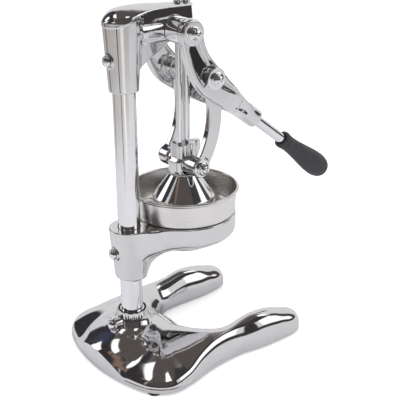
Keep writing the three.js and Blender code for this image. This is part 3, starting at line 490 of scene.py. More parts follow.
def noise(tree, vector, scale, detail, rough=0.5):
    inputs = {"Vector": vector, "Scale": scale, "Detail": detail, "Roughness": rough}
    return add_node(tree, "TexNoise", inputs).outputs["Fac"]


def spread(tree, value, low, high):
    """From low to high while a noise goes from 0.3 to 0.7."""
    inputs = {"Value": value, "From Min": 0.3, "From Max": 0.7, "To Min": low, "To Max": high}
    return add_node(tree, "MapRange", inputs).outputs["Result"]


def tinted(tree, value, tint, dark, light=1.0, low=0.3, high=0.7):
    """From a darker to a lighter shade, as shares of the tint, while a noise goes from low to high."""
    node = add_node(tree, "ValToRGB", {"Fac": value})
    for element, at, share in zip(node.color_ramp.elements, (low, high), (dark, light)):
        element.position = at
        element.color = (*(c * share for c in tint), 1)
    return node.outputs["Color"]


def bump(tree, height, distance, strength, before=None):
    inputs = {"Height": height, "Distance": distance, "Strength": strength}
    if before is not None:
        inputs["Normal"] = before
    return add_node(tree, "Bump", inputs).outputs["Normal"]


def dress(tree, colour, rough, normal, **others):
    """The shader on the tree's output, with these inputs."""
    inputs = {"Base Color": colour, "Roughness": rough, "Normal": normal, **others}
    shader = add_node(tree, "BsdfPrincipled", inputs)
    add_node(tree, "OutputMaterial", {"Surface": shader.outputs[0]})


def chrome(name, tint, rough, wave, grain=0.0):
    """Bright plate: a slow wave in the plating, faint haze and, on castings, a fine grain."""
    mat, tree, at = new_material(name)
    normal = bump(tree, noise(tree, at, 70, 2), 0.001, wave)
    if grain:
        normal = bump(tree, noise(tree, at, 900, 3), 0.0002, grain, normal)
    colour = tinted(tree, noise(tree, at, 55, 4), tint, 0.93, low=0.25, high=0.75)
    dress(tree, colour, spread(tree, noise(tree, at, 160, 5, 0.6), *rough), normal, Metallic=1.0)
    return mat


def spun_steel(name, tint, rough):
    """Satin steel with fine lines round the press's axis."""
    mat, tree, at = new_material(name)
    centre = ((PRESS + SHIFT[0]) * MM, SHIFT[1] * MM, 0)
    away = add_node(tree, "VectorMath", {0: at, 1: centre}, operation="SUBTRACT").outputs[0]
    flat = add_node(tree, "VectorMath", {0: away, 1: (1, 1, 0)}, operation="MULTIPLY").outputs[0]
    radius = add_node(tree, "VectorMath", {0: flat}, operation="LENGTH").outputs["Value"]
    height = add_node(tree, "SeparateXYZ", {0: at}).outputs[2]
    line_at = add_node(tree, "CombineXYZ", {0: radius, 1: height}).outputs[0]
    lines = noise(tree, line_at, 3500, 4, 0.7)
    colour = tinted(tree, noise(tree, at, 40, 3), tint, 0.92)
    dress(tree, colour, spread(tree, lines, *rough), bump(tree, lines, 0.0002, 0.25), Metallic=1.0)
    return mat


def plain_metal(name, tint, rough, grain):
    """Bare metal, dull and faintly grained."""
    mat, tree, at = new_material(name)
    colour = tinted(tree, noise(tree, at, 120, 4), tint, 0.85)
    normal = bump(tree, noise(tree, at, 1400, 3), 0.0003, grain)
    dress(tree, colour, spread(tree, noise(tree, at, 300, 4), *rough), normal, Metallic=1.0)
    return mat


def soft_plastic(name, tint, rough, grain, scale):
    """Moulded plastic or rubber with a fine sandblasted texture."""
    mat, tree, at = new_material(name)
    colour = tinted(tree, noise(tree, at, 90, 4), tint, 0.88, 1.1)
    normal = bump(tree, noise(tree, at, scale, 4, 0.65), 0.0002, grain)
    rough = spread(tree, noise(tree, at, scale * 0.6, 3), *rough)
    dress(tree, colour, rough, normal, **{"Specular IOR Level": 0.4})
    return mat


# Finishes, as the record's slot and a material
CHROME = ("chrome", chrome("bright_chrome", (0.93, 0.93, 0.94), (0.03, 0.07), 0.01))
CASTING = ("cast_chrome", chrome("cast_chrome", (0.80, 0.795, 0.80), (0.04, 0.10), 0.015, 0.02))
STEEL = ("satin_steel", spun_steel("satin_steel", (0.88, 0.865, 0.84), (0.22, 0.32)))
ALUMINIUM = ("cast_aluminium", plain_metal("cast_aluminium", (0.66, 0.66, 0.65), (0.34, 0.46), 0.3))
BOLT = ("satin_steel", plain_metal("bolt_steel", (0.62, 0.61, 0.59), (0.24, 0.34), 0.1))
PLASTIC = ("black_plastic", soft_plastic("charcoal_plastic", (0.052, 0.049, 0.055), (0.46, 0.62), 0.35, 2600))
RUBBER = ("rubber", soft_plastic("foot_rubber", (0.014, 0.014, 0.015), (0.7, 0.85), 0.25, 1500))


# Base casting: its outline and its inner line from the toe's tip to the rear, as shares of its reach along X
# and of its half width, and with the crown's height as a share of the toe's

BASE_OUTER = [(0.868, 0.90, 0.80), (0.763, 0.905, 0.95), (0.632, 0.895, 1.02), (0.5, 0.857, 0.95),
              (0.368, 0.862, 0.86), (0.221, 0.9, 0.8), (0.063, 0.975, 0.75), (-0.27, 0.985, 0.7),
              (-0.64, 0.84, 0.7), (-0.87, 0.53, 0.7), (-0.965, 0.26, 0.7), (-1, 0, 0.7)]
BASE_INNER = [(0.868, 0.56), (0.768, 0.53), (0.642, 0.53), (0.526, 0.53), (0.421, 0.5), (0.345, 0.38),
              (0.30, 0.24), (0.284, 0.13), (0.278, 0.07), (0.275, 0.035), (0.274, 0.015), (0.273, 0)]
BASE_REAR, BASE_FRONT, BASE_HALF, BASE_CROWN = 54.0, 195.0, 99.9, 41.0
FOOT, SKIRT, TOE_REACH = 3.0, 6.0, 25.0
RIM = FOOT + SKIRT

# Heights over the plan: the top of the outer wall by place along X, how far the body rises over the wall's
# foot and over what distance; the rim of the crotch, by distance from it; and the flare round the post's
# socket, by distance from the post's axis
WALL_TOP = [(-20, 13.5), (5, 16), (30, 23), (60, 30), (100, 33)]
RISE = [(-54, 17), (-35, 20), (-10, 25), (15, 29), (45, 31), (100, 32)]
RISE_REACH = [(-54, 50), (-20, 62), (20, 80), (60, 70)]
CROTCH_RIM = [(0, 9), (0.6, 14), (2, 19), (5, 25), (9, 30), (15, 35), (25, 40), (40, 45), (70, 52)]
SOCKET_FLARE = [(17, 62), (17.6, 59), (18.3, 55.5), (19.6, 51.5), (22.5, 47), (28, 43), (36, 39), (50, 30),
                (60, 20), (80, 0)]
SOCKET_RADIUS, SOCKET_BORE, SOCKET_TOP = 17.0, 13.2, 62.0

# The body gives way to the toes' own arches between these places along X
TOES_FROM, TOES_TO = 65, 125


def base_reach(share):
    return share * (BASE_REAR if share < 0 else BASE_FRONT)


def base_line(table):
    return spline([(base_reach(x), y * BASE_HALF, *crown) for x, y, *crown in table], 12)


def base_sections():
    """Sections from the toe's tip round to the rear, as outer and inner point, crown height and softness."""
    outer, inner = base_line(BASE_OUTER), base_line(BASE_INNER)
    sections = []
    caps = 28
    start, middle = outer[0][0], (outer[0][1] + inner[0][1]) / 2
    half = (outer[0][1] - inner[0][1]) / 2
    crown = outer[0][2] * BASE_CROWN
    ahead = TOE_REACH / (outer[0][0] - outer[1][0])
    fall = (outer[1][2] - outer[0][2]) * BASE_CROWN * ahead / (crown - RIM)
    drift_out, drift_in = (outer[0][1] - outer[1][1]) * ahead, (inner[0][1] - inner[1][1]) * ahead
    for k in range(caps, 0, -1):
        angle = math.pi / 2 * k / (caps + 0.3)
        reach = math.sin(angle)
        x = start + TOE_REACH * reach
        wide = half * math.cos(angle)
        ease = reach * (1 - reach) ** 2
        height = RIM + (crown - RIM) * math.cos(angle) ** 1.1 * (1 - fall * ease)
        outside, inside = middle + wide + drift_out * ease, middle - wide + drift_in * ease
        sections.append(((x, outside), (x, inside), height, 1.0))
    for k in range(len(outer)):
        share = k / (len(outer) - 1)
        sections.append((outer[k][:2], inner[k], outer[k][2] * BASE_CROWN, 1 + 0.2 * share))
    return sections


def line_distance(x, y, line):
    best = np.full(x.shape, 1e9)
    for a, b in zip(line[:-1], line[1:]):
        e = b - a
        t = np.clip(((x - a[0]) * e[0] + (y - a[1]) * e[1]) / max(e @ e, 1e-9), 0, 1)
        best = np.minimum(best, np.hypot(x - a[0] - t * e[0], y - a[1] - t * e[1]))
    return best


def socket_flare(r):
    return smooth_curve(np.maximum(r, SOCKET_RADIUS), SOCKET_FLARE)


def base_height(x, y):
    """The body between toes and rear: a low dome that falls to its rim, and the socket's flare on it."""
    out = line_distance(x, np.abs(y), base_line(BASE_OUTER)[:, :2])
    crotch = line_distance(x, np.abs(y), base_line(BASE_INNER))
    top = smooth_curve(x, WALL_TOP)
    rise = smooth_curve(x, RISE) - top + WALL_TOP[0][1]
    dome = top + rise * (1 - np.clip(1 - out / smooth_curve(x, RISE_REACH), 0, 1) ** 2.3)
    wall = RIM + 5.5 * (out / 0.8) ** 0.75
    body = smin(smin(dome, wall, 11.0), smooth_curve(crotch, CROTCH_RIM), 5.0)
    body = smax(body, socket_flare(np.hypot(x, y)), 5.0)
    return RIM + (body - RIM) * np.clip(np.minimum(out, crotch) / 0.3, 0, 1)


def make_base():
    steps = 100
    half = base_sections()
    whole = [(*section, 1) for section in half] + [(*section, -1) for section in reversed(half[:-1])]
    angle = np.pi * np.arange(steps + 1) / steps
    across = (1 - np.cos(angle)) / 2
    outer = np.array([(o[0], side * o[1]) for o, i, c, s, side in whole])
    inner = np.array([(i[0], side * i[1]) for o, i, c, s, side in whole])
    crown = np.array([(c, s) for o, i, c, s, side in whole])
    x = outer[:, :1] + (inner[:, :1] - outer[:, :1]) * across
    y = outer[:, 1:] + (inner[:, 1:] - outer[:, 1:]) * across
    steep = np.where(angle < math.pi / 2, 0.78, 1)
    arch = RIM + (crown[:, :1] - RIM) * np.sin(angle) ** (crown[:, 1:] * steep)
    share = step(x, TOES_FROM, TOES_TO)
    z = arch * share + base_height(x, y) * (1 - share)
    lifts, shares = (0.8, 3.0, 5.0), (0.02, 0.5, 0.98)
    verts, faces = [], []
    for k in range(len(whole)):
        verts += [(*outer[k], FOOT + lift) for lift in lifts]
        verts += zip(x[k], y[k], z[k])
        verts += [(*inner[k], FOOT + lift) for lift in reversed(lifts)]
        verts += [(*(inner[k] + (outer[k] - inner[k]) * t), FOOT) for t in shares]
    n = len(verts) // len(whole)
    for a in range(len(whole) - 1):
        for b in range(n):
            c = (b + 1) % n
            faces.append([a * n + b, a * n + c, (a + 1) * n + c, (a + 1) * n + b])
    faces.append(list(range(n)))
    faces.append([(len(whole) - 1) * n + k for k in reversed(range(n))])
    r = np.concatenate([[17.05], np.linspace(17.2, 23.0, 14)])
    collar = [(SOCKET_BORE, 40.0), (SOCKET_BORE, 61.2), (13.8, SOCKET_TOP), (16.2, SOCKET_TOP), (16.9, 61.4),
              *zip(r, socket_flare(r) + 0.12), (23.4, 43.0), (23.4, 40.0, 0)]
    face, height = SCREWS["base"]
    boss = lathe([(0, 12), (7.9, 12), (7.9, face - 0.8), (7.0, face), (0, face)], 0.5, 48)
    mesh = joined((verts, faces), lathe_ring(collar, 0.3, 128), along_back(boss, height))
    make("base_casting", mesh, "stand", CASTING)


# Set screws


def make_set_screw(name):
    face, height = SCREWS[name]
    seat, rise, radius, shank = face + GAP, 5.0, 6.2, 3.0
    floor = face - 1.5
    profile = [(0, floor), (shank, floor), (shank, seat), (radius - 0.5, seat), (radius, seat + 0.5)]
    for k in range(1, 9):
        a = math.pi / 2 * k / 8
        profile.append((radius * math.cos(a), seat + 0.5 + (rise - 0.5) * math.sin(a) * 0.98))
    obj = make(f"{name}_set_screw", along_back(turned(profile, 48), height), "stand", CHROME)
    cut_slot(obj, face + rise, height)


def cut_slot(obj, crown, height):
    """The screwdriver slot across the dome, cut with a block."""
    low = np.array([-(crown + 3), -0.8, height - 9]) + SHIFT
    high = np.array([-(crown - 1.5), 0.8, height + 9]) + SHIFT
    corners = [(x, y, z) for x in (low[0], high[0]) for y in (low[1], high[1]) for z in (low[2], high[2])]
    mesh = bpy.data.meshes.new("slot_tool")
    mesh.from_pydata([tuple(v * MM for v in p) for p in corners], [],
                     [(0, 1, 3, 2), (4, 6, 7, 5), (0, 4, 5, 1), (2, 3, 7, 6), (0, 2, 6, 4), (1, 5, 7, 3)])
    tool = bpy.data.objects.new("slot_tool", mesh)
    bpy.context.scene.collection.objects.link(tool)
    modifier = obj.modifiers.new("slot", "BOOLEAN")
    modifier.operation = "DIFFERENCE"
    modifier.solver = "EXACT"
    modifier.object = tool
    apply_modifiers(obj)
    bpy.data.objects.remove(tool)
    obj.modifiers.new("weighted", "WEIGHTED_NORMAL").keep_sharp = True
    sharpen(obj, 40)


def apply_modifiers(obj):
    graph = bpy.context.evaluated_depsgraph_get()
    mesh = bpy.data.meshes.new_from_object(obj.evaluated_get(graph))
    obj.modifiers.clear()
    old = obj.data
    obj.data = mesh
    bpy.data.meshes.remove(old)


def sharpen(obj, degrees):
    """Edges that turn more than this many degrees stay crisp."""
    bm = bmesh.new()
    bm.from_mesh(obj.data)
    for edge in bm.edges:
        if len(edge.link_faces) == 2:
            edge.smooth = edge.calc_face_angle(0) < math.radians(degrees)
    bm.to_mesh(obj.data)
    bm.free()


# Post


def make_post():
    low, high, radius, bore = 14.3, 386.0, 12.5, 10.5
    points = [(bore, low), (radius, low, 0.8), (radius, high, 0.8), (bore, high, 0)]
    make("post_tube", lathe_ring(points, 0.5, 160), "stand", CHROME, weighted=True)


# Bracket: the cup's section by distance from the press's axis, the arm from the side, the arm's half width by
# height, and the cup's inside radius by height

BRACKET_LOW, BRACKET_TOP = 104.0, 164.0
CUP = Outline([(60, 164.6), (60, 146), (59, 142.5), (55.5, 138.8), (46, 133.2), (36, 128.6), (32, 125),
               (28, 125), (28, 129), (36.6, 136.7), (48, 141.5), (51, 146), (51, 164.6)], 0.7)
ARM_SIDE = Outline(np.vstack([
    [(-5, 164), (-5, 103), (10, 103)],
    spline([(13.5, 107), (17.5, 114), (23.5, 121), (33, 126.8), (46, 129.8), (60, 131)], 8),
    [(76, 131), (76, 164)],
]), 1.2)
ARM_BELLY = [(104, 13), (116, 15), (126, 19), (134, 27), (142, 42), (150, 62)]
CUP_INSIDE = [(120, 28), (129, 28), (134, 34), (139, 44), (146, 51), (170, 51)]


def bracket(p):
    x, y, z = p.T
    ay = np.abs(y)
    from_post, from_press = np.hypot(x, y), np.hypot(x - PRESS, y)
    socket_radius = 17.5 + 5.5 * (z - BRACKET_LOW) / (BRACKET_TOP - BRACKET_LOW)
    socket = common(1.5, (from_post - socket_radius) * 0.996, BRACKET_LOW - z)
    plan = (ay - (22.0 + 37 * x / PRESS)) * 0.9
    belly = (ay - smooth_curve(z, ARM_BELLY)) * 0.5
    arm = common(4.0, ARM_SIDE(x, z), plan, belly, x - 70)
    boss, hole = screw_boss(p, "bracket")
    body = smin(union(6.0, socket, arm, CUP(from_press, z)), boss, 1.5)
    body = smax(body, z - BRACKET_TOP, 1.4)
    body = smax(body, (smooth_curve(z, CUP_INSIDE) - from_press) * 0.8, 1.2)
    body = smax(body, POST_HOLE - from_post, 0.8)
    return smax(body, -hole, 0.4)


def make_bracket():
    make("bracket_casting", skin_of(bracket, (-27, -64, 101), (140, 64, 167), 1.25), "stand", CASTING)


# Bowl, with its funnel and spout


def make_bowl():
    seat, rim, bead, spout = 164.3, 193.2, 1.5, 10.6
    turns = np.linspace(-0.5 * math.pi, 1.0 * math.pi, 14)
    points = [(spout, 128), (12, 128, 0.3), (12, 140, 3), (46.6, 162.3, 1.5), (46.6, seat, 0.5),
              (57.6, seat, 1.8), (58.8, seat + 1.6, 1.2), (60.9, rim - 3.2, 0.8),
              *[(61.9 + bead * math.cos(a), rim + bead * math.sin(a), 0) for a in turns],
              (60.4, rim - 1.2, 0.4), (57.4, seat + 1.7, 1.4), (47.0, seat + 1.4, 0.4), (45.4, 163.5, 0.8),
              (spout, 141.4, 3)]
    make("juice_bowl", lathe_ring(points, 0.4, 192, 5, PRESS), "stand", STEEL, weighted=True)


# Strainer and reaming cone

STRAIN_LOW, STRAIN_TOP, STRAIN_RADIUS, STRAIN_SLOTS = 166.0, 167.6, 56, 36


def strainer(p):
    x, y, z = p[:, 0] - PRESS, p[:, 1], p[:, 2]
    r = np.hypot(x, y)
    pitch = 2 * math.pi / STRAIN_SLOTS
    off = (np.arctan2(y, x) + pitch / 2) % pitch - pitch / 2
    slot = np.maximum(np.abs(off * r) - 1.1, np.abs(r - 40.5) - 8.5)
    plate = common(0.5, r - STRAIN_RADIUS, STRAIN_LOW - z, z - STRAIN_TOP)
    return smax(plate, -slot, 0.4)


def make_strainer():
    mesh = skin_of(strainer, (PRESS - 58, -58, 165), (PRESS + 58, 58, 169), 0.75)
    make("strainer_plate", mesh, "stand", STEEL)


def make_reamer():
    low, tall, radius, ribs, depth = STRAIN_TOP + GAP, 28.0, 26.5, 10, 2.2
    rows, around = 40, ribs * 24
    angle = np.arange(around) * 2 * math.pi / around
    sharp = np.abs(np.cos(ribs * angle / 2)) ** 3 * 2 - 1
    verts, faces = [], []
    for i in range(rows + 1):
        share = i / rows
        r = radius * math.cos(math.pi / 2 * share * 0.93)
        r = r + depth * sharp * r / radius
        z = low + tall * share ** 0.9
        verts.append(np.stack([PRESS + r * np.cos(angle), r * np.sin(angle), np.full(around, z)], 1))
    for i in range(rows):
        for k in range(around):
            n = (k + 1) % around
            faces.append([i * around + k, i * around + n, (i + 1) * around + n, (i + 1) * around + k])
    faces.append(list(reversed(range(around))))
    faces.append([rows * around + k for k in range(around)])
    make("reaming_cone", (np.vstack(verts), faces), "stand", ALUMINIUM)


# Press cone, bolt and neck


def make_press_cone():
    foot, top, wall, hole = 171.0, 210.0, 2.2, 3.8
    outer = rounded([(14.0, top), (16.4, top, 0.9), (36.35, 183.2, 6), (36.4, foot)], 1.0, 12)
    inner = [(r - wall, z - 1.8 * (z - foot) / (top - foot)) for r, z in outer if foot + 0.5 < z < top - 1.5]
    profile = [(hole, top), *outer[:-1], (36.38, foot + 0.4), (36.1, foot), (34.5, foot), *reversed(inner),
               (14.4, top - wall), (hole, top - wall)]
    make("press_cone", turned(profile, 160, PRESS, closed=True), "press", CHROME, weighted=True)


def make_cone_bolt():
    """A hexagon head under the cone and a shank up into the neck."""
    top, end = 207.3, 221.0
    shank = [(0, top - 1.5), (3.5, top - 1.5), (3.5, end - 0.4), (2.9, end), (0, end)]
    head = [(0, top - 3), (6.3, top - 3), (6.9, top - 2.6), (6.9, top - 0.3), (6.6, top), (0, top)]
    mesh = joined(lathe(shank, 0.3, 32, x=PRESS), turned(head, 6, PRESS))
    sharpen(make("cone_bolt", mesh, "press", BOLT), 35)


# The neck by height: its half widths along X and Y, and how square its section is
NECK_LOW, FLANGE_TOP, NECK_TOP, ROD_SEAT = 210.3, 212.4, 246, 226
NECK_LONG = [(208, 17.0), (212, 16.2), (226, 15.9), (231, 12.7), (246, 12.5)]
NECK_WIDE = [(208, 16.0), (213, 12.4), (217, 11.2), (246, 10.9)]
NECK_SQUARE = [(208, 2.4), (213, 3.6), (217, 5.0), (246, 5.0)]


def neck(p):
    x, y, z = p[:, 0] - PRESS, p[:, 1], p[:, 2]
    ay, r = np.abs(y), np.hypot(x, y)
    a, b, n = [smooth_curve(z, table) for table in (NECK_LONG, NECK_WIDE, NECK_SQUARE)]
    body = (((np.abs(x) / a) ** n + (ay / b) ** n) ** (1 / n) - 1) * np.minimum(a, b) * 0.9
    from_flute = np.hypot(np.abs((x + 2.2) % 8.8 - 4.4), ay - b - 0.6)
    body = smax(body, -np.maximum(from_flute - 1.9, 217 - z), 0.8)
    body = common(0.9, body, NECK_LOW - z, z - NECK_TOP)
    flange = common(0.7, r - 17.6, NECK_LOW - z, z - FLANGE_TOP)
    boss = common(0.8, np.hypot(x - 17.5, y) - 5.0, LOW[1] + 0.35 * (18.0 - x) - z, z - NECK_TOP)
    web = common(0.8, ay - 3.2, -x, x - 16, ROD_SEAT - z, z - 243.5)
    lug = common(0.7, from_axis(p, LOW) - 9.4, ay - 17.8)
    body = smin(union(2.2, body, boss, web), flange, 0.5)
    body = smin(body, lug, 1.6)
    body = smax(body, -np.maximum(beside_rods(p) - 4.15, ROD_SEAT - z), 0.4)
    return smax(body, -np.maximum(r - 3.8, z - 221.3), 0.3)


def make_neck():
    mesh = skin_of(neck, (PRESS - 21, -20, 208), (PRESS + 26, 20, 249), 0.55)
    make("press_neck", mesh, "press", CASTING)


def make_rods():
    """The two guide rods and, in their upper ends, the screws that stop them at the head."""
    low, top, bore, bore_end = 225.3, 402.6, 2.3, 392.3
    rod = [(0, low), (ROD_RADIUS, low, 0.6), (ROD_RADIUS, top, 0.6), (bore, top, 0), (bore, bore_end, 0),
           (0, bore_end)]
    seat, shank, tip = top + GAP, 1.9, bore_end + GAP
    screw = [(0, tip), (shank, tip, 0.3), (shank, seat, 0), (4.8, seat, 0.3), (4.8, seat + 1.2, 0.4),
             (3.7, seat + 2.35, 0.8), (1.6, seat + 2.75, 0.6), (0, seat + 2.8)]
    for name, x in (("rear", PRESS - ROD_AT), ("front", PRESS + ROD_AT)):
        make(f"guide_rod_{name}", lathe(rod, 0.4, 64, x=x), "press", CHROME, weighted=True)
        make(f"rod_stop_screw_{name}", lathe(screw, 0.4, 48, 5, x), "press", CHROME, weighted=True)


# Head casting: its web from the side, and its hood by place along X, as the height of the hood's rim, the
# height of its crest and its half width, with a half round at the rear

HEAD_LOW = 318
WEB = Outline([(0, 338), (16, 338.5), (20.5, 341.5), (26, 346), (46.5, 357.5), (52, 362), (71.5, 367),
               (82.5, 384), (82.5, 398), (0, 398)], 1.6)
HOOD_RIM = [(-21, 386.4), (-12, 387.6), (-5, 390.6), (2, 394.0), (10, 396.8), (18, 398.6), (30, 399.9),
            (50, 400.1), (90, 399.9)]
HOOD_CREST = [(-22, 404.0), (-4, 404.2), (10, 404.9), (28, 404.8), (47, 403.3), (66, 402.1), (90, 401.6)]
HOOD_WIDTH = [(-5, 20.5), (4, 20.4), (14, 19.6), (28, 17.7), (46, 15.6), (66, 13.8), (90, 11.8)]
HOOD_REAR = 20.5
BEAM_LOW = 384.6


def head(p):
    x, y, z = p.T
    ay, r, from_shaft, from_rod = np.abs(y), np.hypot(x, y), from_axis(p, TOP), beside_rods(p)
    socket_radius = 15.9 + 3.9 * (z - HEAD_LOW) / 66
    socket = common(1.3, (r - socket_radius) * 0.998, HEAD_LOW - z, z - 392)
    rib = common(2.0, np.hypot(y, z - 377.5) - 12.2, -x, x - 62)
    web = smax(ay - 5.8, WEB(x, z), 1.2)
    boss = smax(from_shaft - 12.4, np.maximum(-1 - ay, ay - 9.0), 0.8)
    beam = common(1.6, ay - 11.2 + 0.13 * (z - BEAM_LOW), 20 - x, x - 83.4, BEAM_LOW - z, z - 400.6)
    body = smin(union(3.2, socket, rib, web), boss, 2.0)
    body = smin(body, beam, 1.6)
    rim, crest, wide = [smooth_curve(x, table) for table in (HOOD_RIM, HOOD_CREST, HOOD_WIDTH)]
    across = np.where(x < 0, r / HOOD_REAR, ay / wide)
    surface = crest - 0.68 * (crest - rim) * np.minimum(across, 1.3) ** 2.3
    plan = np.where(x < 0, r - HOOD_REAR, (ay - wide) * 0.99)
    hood = smax((z - surface) * 0.75, plan, 4.5 * np.clip((crest - rim) / 18, 0.22, 1))
    body = smin(body, common(0.9, hood, (rim - z) * 0.93, x - 84.5), 1.1)
    pads = common(0.5, from_rod - 5.6, 395 - z, z - 402.6)
    body = smin(body, pads, 0.9)
    screw, hole = screw_boss(p, "head")
    body = smin(body, screw, 1.2)
    body = smax(body, -np.maximum(r - POST_HOLE, z - 386.3), 0.8)
    body = smax(body, SHAFT_HOLE - from_shaft, 0.5)
    body = smax(body, -np.maximum(from_shaft - 14.3, 9.0 - ay), 0.5)
    body = smax(body, 4.2 - from_rod, 0.4)
    return smax(body, -hole, 0.4)


def make_head():
    make("head_casting", skin_of(head, (-24, -24, 315), (88, 24, 408), 0.8), "stand", CASTING)


# Lever fork: the side outline in the XZ plane; along the handle's axis, the half width outside and between
# the arms; and the lower line of the groove in the arms' flanks

SOCKET_END = 119


def arc(place, radius, first, last, count):
    """Points on an arc round a place, from and to these degrees."""
    angles = np.radians(np.linspace(first, last, count))
    return [(place[0] + radius * math.cos(a), place[1] + radius * math.sin(a)) for a in angles]


FORK_SIDE = Outline(np.vstack([
    arc(TOP, 14.4, 35, 185, 16),
    spline([(46.2, 368.0), (48.6, 357.0), (51.6, 345.5), (56.2, 333.5), (63.5, 320.5), (73.0, 309.3),
            lever(15.5, -21.2), lever(34, -20.0), lever(52, -17.2), lever(70, -13.6), lever(84, -11.0),
            lever(96, -10.2)], 8),
    [lever(SOCKET_END, -10), lever(SOCKET_END, 10)],
    spline([lever(96, 10.0), lever(84, 9.4), lever(70, 8.6), lever(52, 7.8), lever(34, 7.6), lever(22, 8.4),
            lever(11, 10.6)], 8),
    arc(MID, 13.0, 14, 72, 7),
    spline([(90.2, 341.5), (85.0, 347.0), (80.0, 354.5), (76.0, 362.5), (74.0, 370.0)], 8),
]), 1.3)
FORK_WIDTH = [(-80, ARM_FACE), (26, ARM_FACE), (36, 40.6), (46, 37.4), (58, 32.0), (70, 25.6), (84, 18.0),
              (96, 12.4), (106, 10), (130, 10)]
FORK_SLOT = [(-90, 33.0), (38, 33.0), (44, 31.6), (49, 28.4), (53.5, 22.6), (56.6, 14.0), (58, 0.01),
             (62, -12)]
SLOT_END = 58
GROOVE_LINE = [(12, -4), (22, -3), (40, 0), (54, 2), (62, 3.38)]


def fork(p):
    x, y, z = p.T
    ay, from_top, from_mid = np.abs(y), from_axis(p, TOP), from_axis(p, MID)
    t = (x - MID[0]) * AX[0] + (z - MID[1]) * AX[1]
    s = -(x - MID[0]) * AX[1] + (z - MID[1]) * AX[0]
    side = FORK_SIDE(x, z)
    wide = smooth_curve(t, FORK_WIDTH)
    body = smax(side, (ay - wide) * 0.86, 2.2 + 6.5 * step(t, 22, 60))
    socket = common(1.4, np.hypot(y, s) - 10.0, 78 - t, t - SOCKET_END)
    body = smax(smin(body, socket, 5.0), t - SOCKET_END, 1.4)
    slot = np.where(t < SLOT_END, ay - smooth_curve(t, FORK_SLOT), t - SLOT_END + 0.01)
    body = smax(body, -slot * 0.8, 2.2)

    # The dish in each arm's outer face: its rim narrows and its floor tilts towards the front
    ahead = (x - TOP[0]) * 0.866 + (z - TOP[1]) * 0.5
    rim = 6.5 - 3.7 * step(ahead, -14, -4)
    floor = 41.0 - 4.4 * np.clip((ahead + 16.5) / 18.0, 0, 1)
    dish = smax(side + rim, floor - ay, 0.8)
    dish = smax(dish, smax(-(t + 50), t + 8, 3.0), 2.0)
    dish = smax(dish, np.maximum(12.0 - from_top, 11.0 - from_mid), 1.2)
    body = smax(body, -dish, 0.8)

    line = smooth_curve(t, GROOVE_LINE)
    depth = 0.48 * np.maximum(s - line, 0)
    groove = common(0.5, s - 3.4, line - s, 12 - t, t - 62, wide - depth - ay)
    body = smax(body, -groove, 0.6)

    inner = smax(side + 4.5, ay - 35.4, 0.8)
    inner = smax(inner, np.maximum(17 - from_top, 15.5 - from_mid), 1.2)
    body = smax(body, -smax(inner, t - 6, 2.0), 1.2)
    body = smax(body, SHAFT_HOLE - from_top, 0.4)
    body = smax(body, PIN_HOLE - from_mid, 0.4)
    return smax(body, -np.maximum(np.hypot(y, s) - HANDLE_HOLE, 93 - t), 0.5)


def make_fork():
    make("lever_fork", skin_of(fork, (42, -45, 240), (194, 45, 394), 0.95), "lever", CASTING)


# Links: flat bars bowed along an arc through both pivots

DX, DZ = MID[0] - LOW[0], MID[1] - LOW[1]
CHORD = math.hypot(DX, DZ)
BOW = 14.0
ARC = (CHORD ** 2 / 4 + BOW ** 2) / (2 * BOW)
ARC_AT = ((MID[0] + LOW[0]) / 2 - DZ / CHORD * (ARC - BOW), (MID[1] + LOW[1]) / 2 + DX / CHORD * (ARC - BOW))


def link(p):
    x, y, z = p.T
    from_mid, from_low, from_arc = from_axis(p, MID), from_axis(p, LOW), from_axis(p, ARC_AT)
    span = ((x - LOW[0]) * DX + (z - LOW[1]) * DZ) / CHORD
    bar = common(1.3, np.abs(from_arc - ARC) - 8.5, -span, span - CHORD, 25 - y, y - 32.4)
    top = common(0.8, from_mid - 11.9, 23 - y, y - LINK_FACE)
    low = common(0.9, from_low - 11.4, 18.1 - y, y - LINK_FACE)
    body = smax(union(2.0, bar, top, low), PIN_HOLE - from_mid, 0.4)
    return smax(body, PIN_HOLE - from_low, 0.4)


def make_links():
    make_pair("link", skin_of(link, (60, 16, 208), (112, 35, 341), 0.8), "links", CASTING)


# Pivot hardware. The cap nut's outline outside its bore is given as radius, height over its seat and corner
# radius: a skirt, a ring turned into its face and a dimple at its crown.

WASHER, NUT_BORE, PIN_REACH = 1.8, 4.8, 4.5
NUT = [(7.2, 0, 0.2), (7.6, 0.4, 0.3), (7.6, 2.3, 0.4), (6.7, 2.6, 0.3), (6.4, 4.3, 0.6), (4.5, 4.8, 0.4),
       (4.0, 6.3, 0.6), (2.2, 6.9, 0.5), (1.5, 7.0, 0.3), (1.1, 6.3, 0.3), (0, 6.3)]


def ring(outer, inner, low, high, bevel):
    return lathe_ring([(inner, low), (outer, low, bevel), (outer, high, bevel), (inner, high)], 0.3, 96)


def nut_seat(face):
    return face + GAP + WASHER + GAP


def make_washers_and_nuts(name, place, body, face, radius, pin):
    """The washers on a pair of outer faces and the nuts on them."""
    bore, low, seat = pin + GAP, face + GAP, nut_seat(face)
    washer = ring(radius, bore, low, low + WASHER, 0.7)
    make_pair(f"{name}_washer", along_y(washer, place), body, CHROME, weighted=True)
    points = [(0, seat + NUT_BORE), (bore, seat + NUT_BORE, 0), (bore, seat, 0)]
    points += [(r, seat + z, *corner) for r, z, *corner in NUT]
    make_pair(f"{name}_nut", along_y(lathe(points, 0.3, 64, 6), place), body, CHROME, weighted=True)


